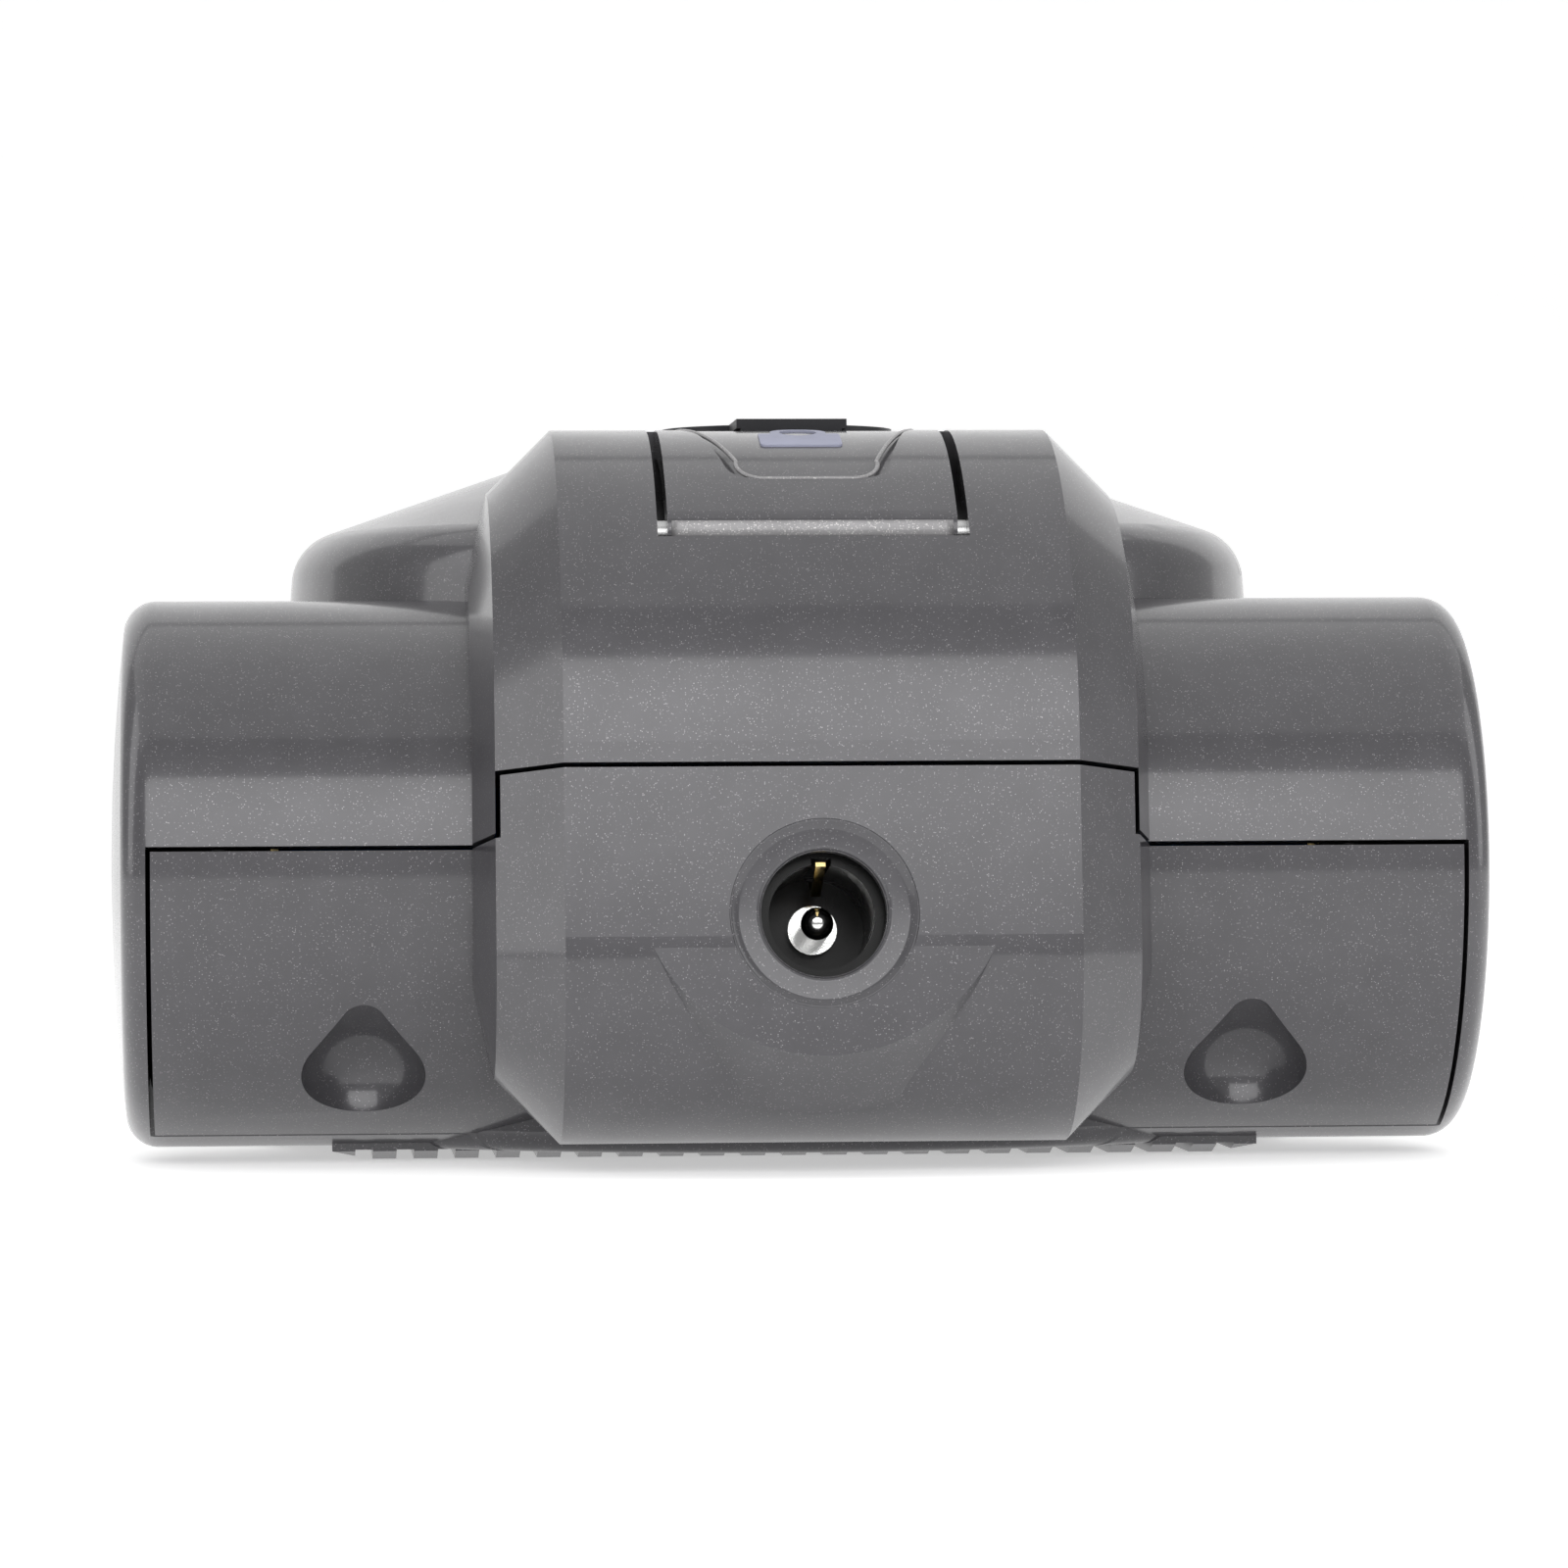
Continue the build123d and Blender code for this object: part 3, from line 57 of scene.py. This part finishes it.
# A bead's rings are set out from a direction that no path follows, and its ends taper over a few rings.
BEAD_REFERENCE = np.array([0.31, 0.42, 0.85])
BEAD_TAPER_STEPS, BEAD_END_SHARE = 3.0, 0.0004


# ---------------------------------------------------------------- meshes from arrays
def piece_from_grid(name, points, material, body, wrap_u=False, wrap_v=False):
    """A mesh from an (n, m, 3) array of points in millimetres: each cell of the grid is one face."""
    rows, columns = points.shape[:2]
    index = np.arange(rows * columns).reshape(rows, columns)
    if wrap_u:
        index = np.vstack([index, index[:1]])
    if wrap_v:
        index = np.hstack([index, index[:, :1]])
    corners = [index[:-1, :-1], index[:-1, 1:], index[1:, 1:], index[1:, :-1]]
    quads = np.stack(corners, axis=-1).reshape(-1, 4)
    mesh = bpy.data.meshes.new(name)
    mesh.from_pydata((points.reshape(-1, 3) * MM).tolist(), [], quads.tolist())
    mesh.shade_smooth()
    made = bpy.data.objects.new(name, mesh)
    bpy.context.scene.collection.objects.link(made)
    mesh.materials.append(material)
    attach(made, body)
    return made


def turned_ring(profile, count, place):
    """A profile of (radius, height) pairs turned round the height axis, then placed by a function."""
    angles = np.linspace(0.0, 2 * np.pi, count, endpoint=False)[:, None]
    radius, height = np.asarray(profile, float).T
    ring = np.stack(
        np.broadcast_arrays(radius * np.cos(angles), radius * np.sin(angles), height + 0 * angles), axis=-1
    )
    return place(ring)


def on_rear_face(local):
    """Local x across, y up along the leaning rear face and z out of it, to the pump's own axes."""
    across, up, out = local[..., 0], local[..., 1], local[..., 2]
    y = JACK_AXIS_Y + up * math.sin(FACE_LEAN) - out * math.cos(FACE_LEAN)
    z = JACK_AXIS_Z + up * math.cos(FACE_LEAN) + out * math.sin(FACE_LEAN)
    return np.stack([across, y, z], axis=-1)


def bead_along(path, radius, sides):
    """A round bead carried along an open path, each ring square to the path's direction at its point.

    Over the first and last few rings the radius falls as a square root, almost to nothing at the ends.
    """
    along = np.vstack([path[1:], path[-1:]]) - np.vstack([path[:1], path[:-1]])
    along /= np.linalg.norm(along, axis=1, keepdims=True)
    side = np.cross(along, BEAD_REFERENCE)
    side /= np.linalg.norm(side, axis=1, keepdims=True)
    up = np.cross(side, along)
    turn = np.linspace(0.0, 2 * np.pi, sides, endpoint=False)
    steps = np.minimum(np.arange(len(path)), np.arange(len(path))[::-1])
    radii = radius * np.sqrt(np.clip(steps / BEAD_TAPER_STEPS, BEAD_END_SHARE, 1.0))
    ring = np.cos(turn)[None, :, None] * side[:, None] + np.sin(turn)[None, :, None] * up[:, None]
    return path[:, None] + ring * radii[:, None, None]


# ---------------------------------------------------------------- shader node groups
def node_group(name, inputs, outputs):
    """An empty group with named sockets; each input is (name, socket type, default)."""
    group = bpy.data.node_groups.new(name, "ShaderNodeTree")
    for label, kind, default in inputs:
        socket = group.interface.new_socket(label, in_out="INPUT", socket_type=kind)
        if default is not None:
            socket.default_value = default
    for label, kind in outputs:
        group.interface.new_socket(label, in_out="OUTPUT", socket_type=kind)
    return group, group.nodes.new("NodeGroupInput"), group.nodes.new("NodeGroupOutput")


def add_node(tree, kind, inputs=None, **settings):
    """A node with its settings, and with each named or numbered input linked or set."""
    made = tree.nodes.new(kind)
    for key, value in settings.items():
        setattr(made, key, value)
    for key, value in (inputs or {}).items():
        if isinstance(value, bpy.types.NodeSocket):
            tree.links.new(value, made.inputs[key])
        else:
            made.inputs[key].default_value = value
    return made


def stretch(tree, value, low, high, out_low, out_high):
    """The value's range from low to high, mapped on to the new range and held at its ends."""
    made = add_node(tree, "ShaderNodeMapRange", {0: value, 1: low, 2: high, 3: out_low, 4: out_high})
    return made.outputs[0]


def build_flake_group():
    """Pearl flakes: small cells of which a share is bright, with a slow cloudiness under them."""
    group, given, out = node_group(
        "pearl_flakes",
        [
            ("Base", "NodeSocketColor", None),
            ("Flake", "NodeSocketColor", None),
            ("Cell size mm", "NodeSocketFloat", 0.08),
            ("Share", "NodeSocketFloat", 0.15),
        ],
        [("Color", "NodeSocketColor"), ("Flakes", "NodeSocketFloat")],
    )
    where = add_node(group, "ShaderNodeTexCoord").outputs["Object"]
    per_metre = add_node(
        group, "ShaderNodeMath", {0: 1000.0, 1: given.outputs["Cell size mm"]}, operation="DIVIDE"
    )
    cells = add_node(group, "ShaderNodeTexVoronoi", {"Vector": where, "Scale": per_metre.outputs[0]})
    pick = add_node(group, "ShaderNodeSeparateColor", {0: cells.outputs["Color"]})
    cut = add_node(group, "ShaderNodeMath", {0: 1.0, 1: given.outputs["Share"]}, operation="SUBTRACT")
    bright = add_node(
        group, "ShaderNodeMapRange", {0: pick.outputs[0], 1: cut.outputs[0], 2: 1.0, 3: 0.0, 4: 1.0}
    )
    spot = stretch(group, cells.outputs["Distance"], 0.25, 0.55, 1.0, 0.0)
    flakes = add_node(group, "ShaderNodeMath", {0: bright.outputs[0], 1: spot}, operation="MULTIPLY")
    cloud = add_node(group, "ShaderNodeTexNoise", {"Vector": where, "Scale": 420.0, "Detail": 3.0})
    cloud_tone = stretch(group, cloud.outputs[0], 0.3, 0.7, 0.93, 1.07)
    toned = add_node(
        group,
        "ShaderNodeMix",
        {"Factor": 1.0, "A": given.outputs["Base"], "B": cloud_tone},
        data_type="RGBA",
        blend_type="MULTIPLY",
    )
    mixed = add_node(
        group,
        "ShaderNodeMix",
        {"Factor": flakes.outputs[0], "A": toned.outputs["Result"], "B": given.outputs["Flake"]},
        data_type="RGBA",
    )
    group.links.new(mixed.outputs["Result"], out.inputs["Color"])
    group.links.new(flakes.outputs[0], out.inputs["Flakes"])
    return group


def build_grain_group():
    """Moulding texture: fine grain and broad ripple as a height, with slow wear in the roughness."""
    group, given, out = node_group(
        "moulded_grain",
        [
            ("Grain size mm", "NodeSocketFloat", 0.3),
            ("Ripple size mm", "NodeSocketFloat", 4.0),
            ("Grain", "NodeSocketFloat", 0.5),
            ("Rough low", "NodeSocketFloat", 0.3),
            ("Rough high", "NodeSocketFloat", 0.4),
        ],
        [("Height", "NodeSocketFloat"), ("Roughness", "NodeSocketFloat")],
    )
    where = add_node(group, "ShaderNodeTexCoord").outputs["Object"]
    fine = add_node(
        group, "ShaderNodeMath", {0: 1000.0, 1: given.outputs["Grain size mm"]}, operation="DIVIDE"
    )
    broad = add_node(
        group, "ShaderNodeMath", {0: 1000.0, 1: given.outputs["Ripple size mm"]}, operation="DIVIDE"
    )
    grain = add_node(group, "ShaderNodeTexNoise", {"Vector": where, "Scale": fine.outputs[0], "Detail": 2.0})
    ripple = add_node(group, "ShaderNodeTexNoise", {"Vector": where, "Scale": broad.outputs[0], "Detail": 1.0})
    scaled = add_node(
        group, "ShaderNodeMath", {0: grain.outputs[0], 1: given.outputs["Grain"]}, operation="MULTIPLY"
    )
    height = add_node(group, "ShaderNodeMath", {0: scaled.outputs[0], 1: ripple.outputs[0]}, operation="ADD")
    smear = add_node(group, "ShaderNodeTexNoise", {"Vector": where, "Scale": 90.0, "Detail": 4.0})
    rough = add_node(
        group,
        "ShaderNodeMapRange",
        {0: smear.outputs[0], 1: 0.35, 2: 0.65, 3: given.outputs["Rough low"], 4: given.outputs["Rough high"]},
    )
    group.links.new(height.outputs[0], out.inputs["Height"])
    group.links.new(rough.outputs[0], out.inputs["Roughness"])
    return group


SCRATCH_MM = (0.08, 1.5, 0.08)  # size of the metal's scratches along each axis
FLAKES = build_flake_group()
GRAIN = build_grain_group()


def material_with_shader(name):
    """A new material, its node tree and its Principled shader."""
    made = bpy.data.materials.new(name)
    made.use_nodes = True
    tree = made.node_tree
    return made, tree, tree.nodes["Principled BSDF"]


def place_grain(tree, shader, grain_mm, ripple_mm, grain, rough, bump, depth_mm):
    """Puts the moulded grain into a material: its height as a bump and its wear in the roughness."""
    moulded = tree.nodes.new("ShaderNodeGroup")
    moulded.node_tree = GRAIN
    labels = ("Grain size mm", "Ripple size mm", "Grain", "Rough low", "Rough high")
    for key, value in zip(labels, (grain_mm, ripple_mm, grain, *rough)):
        moulded.inputs[key].default_value = value
    raised = add_node(
        tree,
        "ShaderNodeBump",
        {"Strength": bump, "Distance": depth_mm * MM, "Height": moulded.outputs["Height"]},
    )
    tree.links.new(moulded.outputs["Roughness"], shader.inputs["Roughness"])
    tree.links.new(raised.outputs[0], shader.inputs["Normal"])


def pearl_plastic(name, base, flake, share, rough, coat):
    """Glossy moulded plastic with pearl flakes under a clear skin."""
    made, tree, shader = material_with_shader(name)
    flecks = tree.nodes.new("ShaderNodeGroup")
    flecks.node_tree = FLAKES
    flecks.inputs["Base"].default_value = (*base, 1.0)
    flecks.inputs["Flake"].default_value = (*flake, 1.0)
    flecks.inputs["Cell size mm"].default_value = 0.085
    flecks.inputs["Share"].default_value = share
    tree.links.new(flecks.outputs["Color"], shader.inputs["Base Color"])
    metal = stretch(tree, flecks.outputs["Flakes"], 0.0, 1.0, 0.35, 0.8)
    tree.links.new(metal, shader.inputs["Metallic"])
    shader.inputs["Specular IOR Level"].default_value = 0.3
    shader.inputs["Coat Weight"].default_value = coat
    shader.inputs["Coat Roughness"].default_value = 0.11
    place_grain(tree, shader, 0.35, 5.0, 0.2, rough, 0.12, 0.05)
    return made


def moulded_plastic(name, base, rough, specular=0.5, bump=0.25, coat=0.0):
    """Plain moulded plastic with a fine grain and a slow change of tone."""
    made, tree, shader = material_with_shader(name)
    where = add_node(tree, "ShaderNodeTexCoord").outputs["Object"]
    tone = add_node(tree, "ShaderNodeTexNoise", {"Vector": where, "Scale": 150.0, "Detail": 4.0})
    share = stretch(tree, tone.outputs[0], 0.3, 0.7, 0.0, 1.0)
    darker, lighter = [c * 0.82 for c in base], [min(1.0, c * 1.15) for c in base]
    mixed = add_node(
        tree, "ShaderNodeMix", {"Factor": share, "A": (*darker, 1.0), "B": (*lighter, 1.0)}, data_type="RGBA"
    )
    tree.links.new(mixed.outputs["Result"], shader.inputs["Base Color"])
    shader.inputs["Specular IOR Level"].default_value = specular
    shader.inputs["Coat Weight"].default_value = coat
    place_grain(tree, shader, 0.25, 3.0, 0.6, rough, bump, 0.04)
    return made


def bare_metal(name, base, rough):
    """Metal with drawn-out scratches: noise stretched along one axis drives the roughness and the bump."""
    made, tree, shader = material_with_shader(name)
    shader.inputs["Metallic"].default_value = 1.0
    where = add_node(tree, "ShaderNodeTexCoord").outputs["Object"]
    drawn = add_node(
        tree, "ShaderNodeMapping", {"Vector": where, "Scale": tuple(1000.0 / size for size in SCRATCH_MM)}
    )
    scratch = add_node(tree, "ShaderNodeTexNoise", {"Vector": drawn.outputs[0], "Scale": 1.0, "Detail": 3.0})
    tree.links.new(stretch(tree, scratch.outputs[0], 0.3, 0.7, *rough), shader.inputs["Roughness"])
    share = stretch(tree, scratch.outputs[0], 0.3, 0.7, 0.0, 1.0)
    darker = [c * 0.85 for c in base]
    mixed = add_node(
        tree, "ShaderNodeMix", {"Factor": share, "A": (*darker, 1.0), "B": (*base, 1.0)}, data_type="RGBA"
    )
    tree.links.new(mixed.outputs["Result"], shader.inputs["Base Color"])
    raised = add_node(
        tree, "ShaderNodeBump", {"Strength": 0.15, "Distance": 0.02 * MM, "Height": scratch.outputs[0]}
    )
    tree.links.new(raised.outputs[0], shader.inputs["Normal"])
    return made


def glowing_paper(name, tones, rough, glow):
    """White backdrop paper, lit a little from behind: two near tones mixed by slow noise."""
    made, tree, shader = material_with_shader(name)
    where = add_node(tree, "ShaderNodeTexCoord").outputs["Object"]
    fibre = add_node(tree, "ShaderNodeTexNoise", {"Vector": where, "Scale": 3.0, "Detail": 1.0})
    darker, lighter = [(tone, tone, tone, 1.0) for tone in tones]
    mixed = add_node(
        tree, "ShaderNodeMix", {"Factor": fibre.outputs[0], "A": darker, "B": lighter}, data_type="RGBA"
    )
    tree.links.new(mixed.outputs["Result"], shader.inputs["Base Color"])
    shader.inputs["Roughness"].default_value = rough
    shader.inputs["Specular IOR Level"].default_value = 0.1
    shader.inputs["Emission Color"].default_value = (1.0, 1.0, 1.0, 1.0)
    shader.inputs["Emission Strength"].default_value = glow
    return made


CHARCOAL = (0.070, 0.068, 0.074)
SILVER_FLECK = (0.30, 0.29, 0.30)

finishes = {
    "shell_plastic": pearl_plastic("charcoal_pearl", CHARCOAL, SILVER_FLECK, 0.14, (0.34, 0.42), 0.8),
    "button_plastic": pearl_plastic("button_pearl", (0.11, 0.11, 0.12), SILVER_FLECK, 0.1, (0.3, 0.36), 0.8),
    "symbol_paint": moulded_plastic("padlock_paint", (0.30, 0.31, 0.41), (0.45, 0.55), bump=0.1),
    "black_plastic": moulded_plastic("black_moulding", (0.012, 0.012, 0.016), (0.38, 0.5), specular=0.35),
    "gloss_black": moulded_plastic("socket_black", (0.004, 0.004, 0.004), (0.2, 0.3), specular=0.25, bump=0.06),
    "white_plastic": moulded_plastic("milky_plastic", (0.72, 0.72, 0.68), (0.35, 0.45)),
    "steel": bare_metal("drawn_steel", (0.60, 0.60, 0.60), (0.22, 0.38)),
    "chrome": bare_metal("plated_pin", (0.86, 0.86, 0.85), (0.05, 0.1)),
    "brass": bare_metal("gold_contact", (0.86, 0.66, 0.30), (0.14, 0.24)),
    "cell_wrap": moulded_plastic("cell_sleeve", (0.03, 0.14, 0.42), (0.18, 0.28), bump=0.12, coat=0.5),
    "board_green": moulded_plastic("board_lacquer", (0.012, 0.13, 0.05), (0.25, 0.4), bump=0.1),
    "clear_lens": moulded_plastic("lamp_lens", (0.80, 0.84, 0.86), (0.08, 0.14), bump=0.05, coat=0.8),
}
# A lighter copy of the shell's pearl, for painted highlights along the latch's edges.
painted_highlight_pearl = pearl_plastic("painted_highlight_pearl", (0.26, 0.255, 0.26), (0.7, 0.68, 0.67), 0.34, (0.4, 0.5), 0.5)

slot_of_node = {part["node"]: part["material_slot"] for part in frame["record"]["subparts"]}
for node_name, node in nodes.items():
    node.data.materials.clear()
    node.data.materials.append(finishes[slot_of_node[node_name]])


# ---------------------------------------------------------------- dished bezel round the charging socket
# Radius and height along the socket's axis: a sloping rim, a flat ring and a rounded lip into the hole.
lip_turn = np.linspace(0.0, np.pi / 2, 9)
lip = np.stack([4.13 - 0.31 * np.sin(lip_turn), -0.62 + 0.30 * np.cos(lip_turn)], axis=-1)
bezel_rim = [(5.69, -0.02), (5.60, -0.03), (5.50, -0.10), (5.20, -0.34), (5.08, -0.36)]
bezel_back = [(3.82, -0.54), (5.69, -0.54)]
bezel_profile = np.vstack([bezel_rim, lip, bezel_back])
piece_from_grid(
    "socket_bezel",
    turned_ring(bezel_profile, 96, on_rear_face),
    finishes["shell_plastic"],
    "cover",
    wrap_u=True,
    wrap_v=True,
)

# ---------------------------------------------------------------- painted highlights on the latch's edges
# A thin band in the lighter pearl on the knuckle's rear side, a painted highlight: an arc about the hinge axis,
# carried across the latch.
LIP_THICK, LIP_SINK, LIP_STEPS, LIP_COLUMNS = 0.08, 0.05, 25, 35
LIP_LOW, LIP_HIGH = math.radians(-32.0), math.radians(24.0)
lip_arc = np.linspace(LIP_LOW, LIP_HIGH, LIP_STEPS)
lip_radii = np.repeat([KNUCKLE_R + LIP_THICK - LIP_SINK, KNUCKLE_R - LIP_SINK], LIP_STEPS)
lip_angles = np.concatenate([lip_arc, lip_arc[::-1]])
lip_across = np.linspace(-LATCH_HALF, LATCH_HALF, LIP_COLUMNS)
lip_ends = np.concatenate([lip_across[:1], lip_across, lip_across[-1:]])
end_share = np.ones(len(lip_ends))
end_share[[0, -1]] = 0.0
middle_radius, middle_angle = KNUCKLE_R - LIP_SINK + LIP_THICK / 2, (LIP_LOW + LIP_HIGH) / 2
band_radii = middle_radius + (lip_radii - middle_radius) * end_share[:, None]
band_angles = middle_angle + (lip_angles - middle_angle) * end_share[:, None]
latch_band = np.stack(
    np.broadcast_arrays(
        lip_ends[:, None],
        LATCH_PIVOT_Y - band_radii * np.cos(band_angles),
        LATCH_PIVOT_Z + band_radii * np.sin(band_angles),
    ),
    axis=-1,
)
piece_from_grid("latch_painted_highlight", latch_band, painted_highlight_pearl, "latch_flap", wrap_v=True)

# A bead in the lighter pearl along the finger recess, a painted highlight on its edge: straight sides and a
# straight rear edge with quarter-round corners between them, laid on the latch's curve about the spine's axis.
BEAD_R, BEAD_SINK, BEAD_SIDES = 0.14, 0.06, 12
side_lean = math.atan2(RECESS_FRONT_HALF - RECESS_REAR_HALF, RECESS_FRONT_Y - RECESS_REAR_Y)
corner_turn = np.linspace(0.0, np.pi / 2 + side_lean, 13)
corner_set = RECESS_ROUND * math.tan((np.pi / 2 + side_lean) / 2)
corner_x = RECESS_REAR_HALF - corner_set
corner = np.stack(
    [
        corner_x + RECESS_ROUND * np.sin(corner_turn),
        RECESS_REAR_Y + RECESS_ROUND * (1 - np.cos(corner_turn)),
    ],
    axis=-1,
)
side_share = np.linspace(0.0, 1.0, 30)[1:, None]
side_line = corner[-1] + (np.array([RECESS_FRONT_HALF, RECESS_FRONT_Y]) - corner[-1]) * side_share
right_half = np.vstack([corner, side_line])
rear_x = np.linspace(-corner_x, corner_x, 22)[1:-1]
rear_line = np.stack([rear_x, np.full(len(rear_x), RECESS_REAR_Y)], axis=-1)
plan = np.vstack([right_half[::-1] * [-1, 1], rear_line, right_half])
lift = np.sqrt((SPINE_R - BEAD_SINK) ** 2 - (plan[:, 1] - SPINE_AXIS_Y) ** 2)
edge_path = np.stack([plan[:, 0], plan[:, 1], SPINE_AXIS_Z + lift], axis=-1)
edge_bead = bead_along(edge_path, BEAD_R, BEAD_SIDES)
piece_from_grid("recess_painted_highlight", edge_bead, painted_highlight_pearl, "latch_flap", wrap_v=True)

# ---------------------------------------------------------------- camera
FACE_DISTANCE = 0.420
VIEW_YAW = math.radians(4.3)
EYE_HEIGHT = 0.0236
AIM_SHIFT = 0.0024
CAMERA_ROLL = math.radians(-0.3)
LENS_MM, SENSOR_MM = 161.5, 36.0
look = Vector((math.sin(VIEW_YAW), math.cos(VIEW_YAW), 0.0))
face_point = Vector((0.0, JACK_AXIS_Y * MM, EYE_HEIGHT))
camera = bpy.data.objects.new("camera", bpy.data.cameras.new("camera"))
camera.data.lens = LENS_MM
camera.data.sensor_width = SENSOR_MM
camera.data.clip_start = 0.01
camera.location = face_point - look * FACE_DISTANCE
aim = face_point - Vector((look.y, -look.x, 0.0)) * AIM_SHIFT
facing = (aim - camera.location).to_track_quat("-Z", "Y")
camera.rotation_mode = "QUATERNION"
camera.rotation_quaternion = facing @ Matrix.Rotation(CAMERA_ROLL, 3, "Z").to_quaternion()
bpy.context.scene.collection.objects.link(camera)
bpy.context.scene.camera = camera

# ---------------------------------------------------------------- floor, backdrop and light
# A flat floor that turns up into a backdrop beyond the pump in one quarter-round curve, in metres.
FLOOR_HALF, FLOOR_NEAR_Y, SWEEP_Y, SWEEP_R, BACKDROP_TOP = 2.5, -1.8, 1.6, 0.8, 2.6
across = np.linspace(-FLOOR_HALF, FLOOR_HALF, 3)
arc = np.linspace(0.0, np.pi / 2, 12)
front_sweep = np.stack([SWEEP_Y + SWEEP_R * np.sin(arc), SWEEP_R - SWEEP_R * np.cos(arc)], axis=-1)
section = np.vstack([[(FLOOR_NEAR_Y, 0.0)], front_sweep, [(SWEEP_Y + SWEEP_R, BACKDROP_TOP)]])
sweep = np.stack(np.broadcast_arrays(across[:, None], section[None, :, 0], section[None, :, 1]), axis=-1)
floor_mesh = bpy.data.meshes.new("studio_floor")
count_v = section.shape[0]
cell = np.arange(2)[:, None] * count_v + np.arange(count_v - 1)[None, :]
floor_mesh.from_pydata(
    sweep.reshape(-1, 3).tolist(),
    [],
    np.stack([cell, cell + count_v, cell + count_v + 1, cell + 1], axis=-1).reshape(-1, 4).tolist(),
)
floor_mesh.shade_smooth()
studio_floor = bpy.data.objects.new("studio_floor", floor_mesh)
bpy.context.scene.collection.objects.link(studio_floor)
floor_mesh.materials.append(glowing_paper("pale_floor", (0.88, 0.90), 0.7, 0.47))


def soft_box(name, place, aim_at, wide, high, power):
    """A rectangular light that faces a point."""
    light = bpy.data.lights.new(name, "AREA")
    light.shape = "RECTANGLE"
    light.size, light.size_y, light.energy = wide, high, power
    made = bpy.data.objects.new(name, light)
    made.location = place
    made.rotation_mode = "QUATERNION"
    made.rotation_quaternion = (Vector(aim_at) - Vector(place)).to_track_quat("-Z", "Y")
    bpy.context.scene.collection.objects.link(made)
    return made


PUMP_MIDDLE = (0.0, -0.01, 0.024)
soft_box("top_box", (0.0, 0.05, 0.95), PUMP_MIDDLE, 1.8, 1.3, 5.0)
soft_box("left_box", (-0.75, -0.1, 0.35), PUMP_MIDDLE, 0.3, 0.7, 1.2)
soft_box("right_box", (0.75, -0.1, 0.35), PUMP_MIDDLE, 0.3, 0.7, 1.2)
soft_box("rear_box", (0.0, -0.75, 0.39), PUMP_MIDDLE, 0.8, 0.42, 3.0)

world = bpy.data.worlds.new("studio_air")
world.use_nodes = True
air = world.node_tree.nodes["Background"]
air.inputs["Color"].default_value = (1.0, 1.0, 1.0, 1.0)
air.inputs["Strength"].default_value = 0.40
bpy.context.scene.world = world
bpy.context.scene.view_settings.view_transform = "Standard"
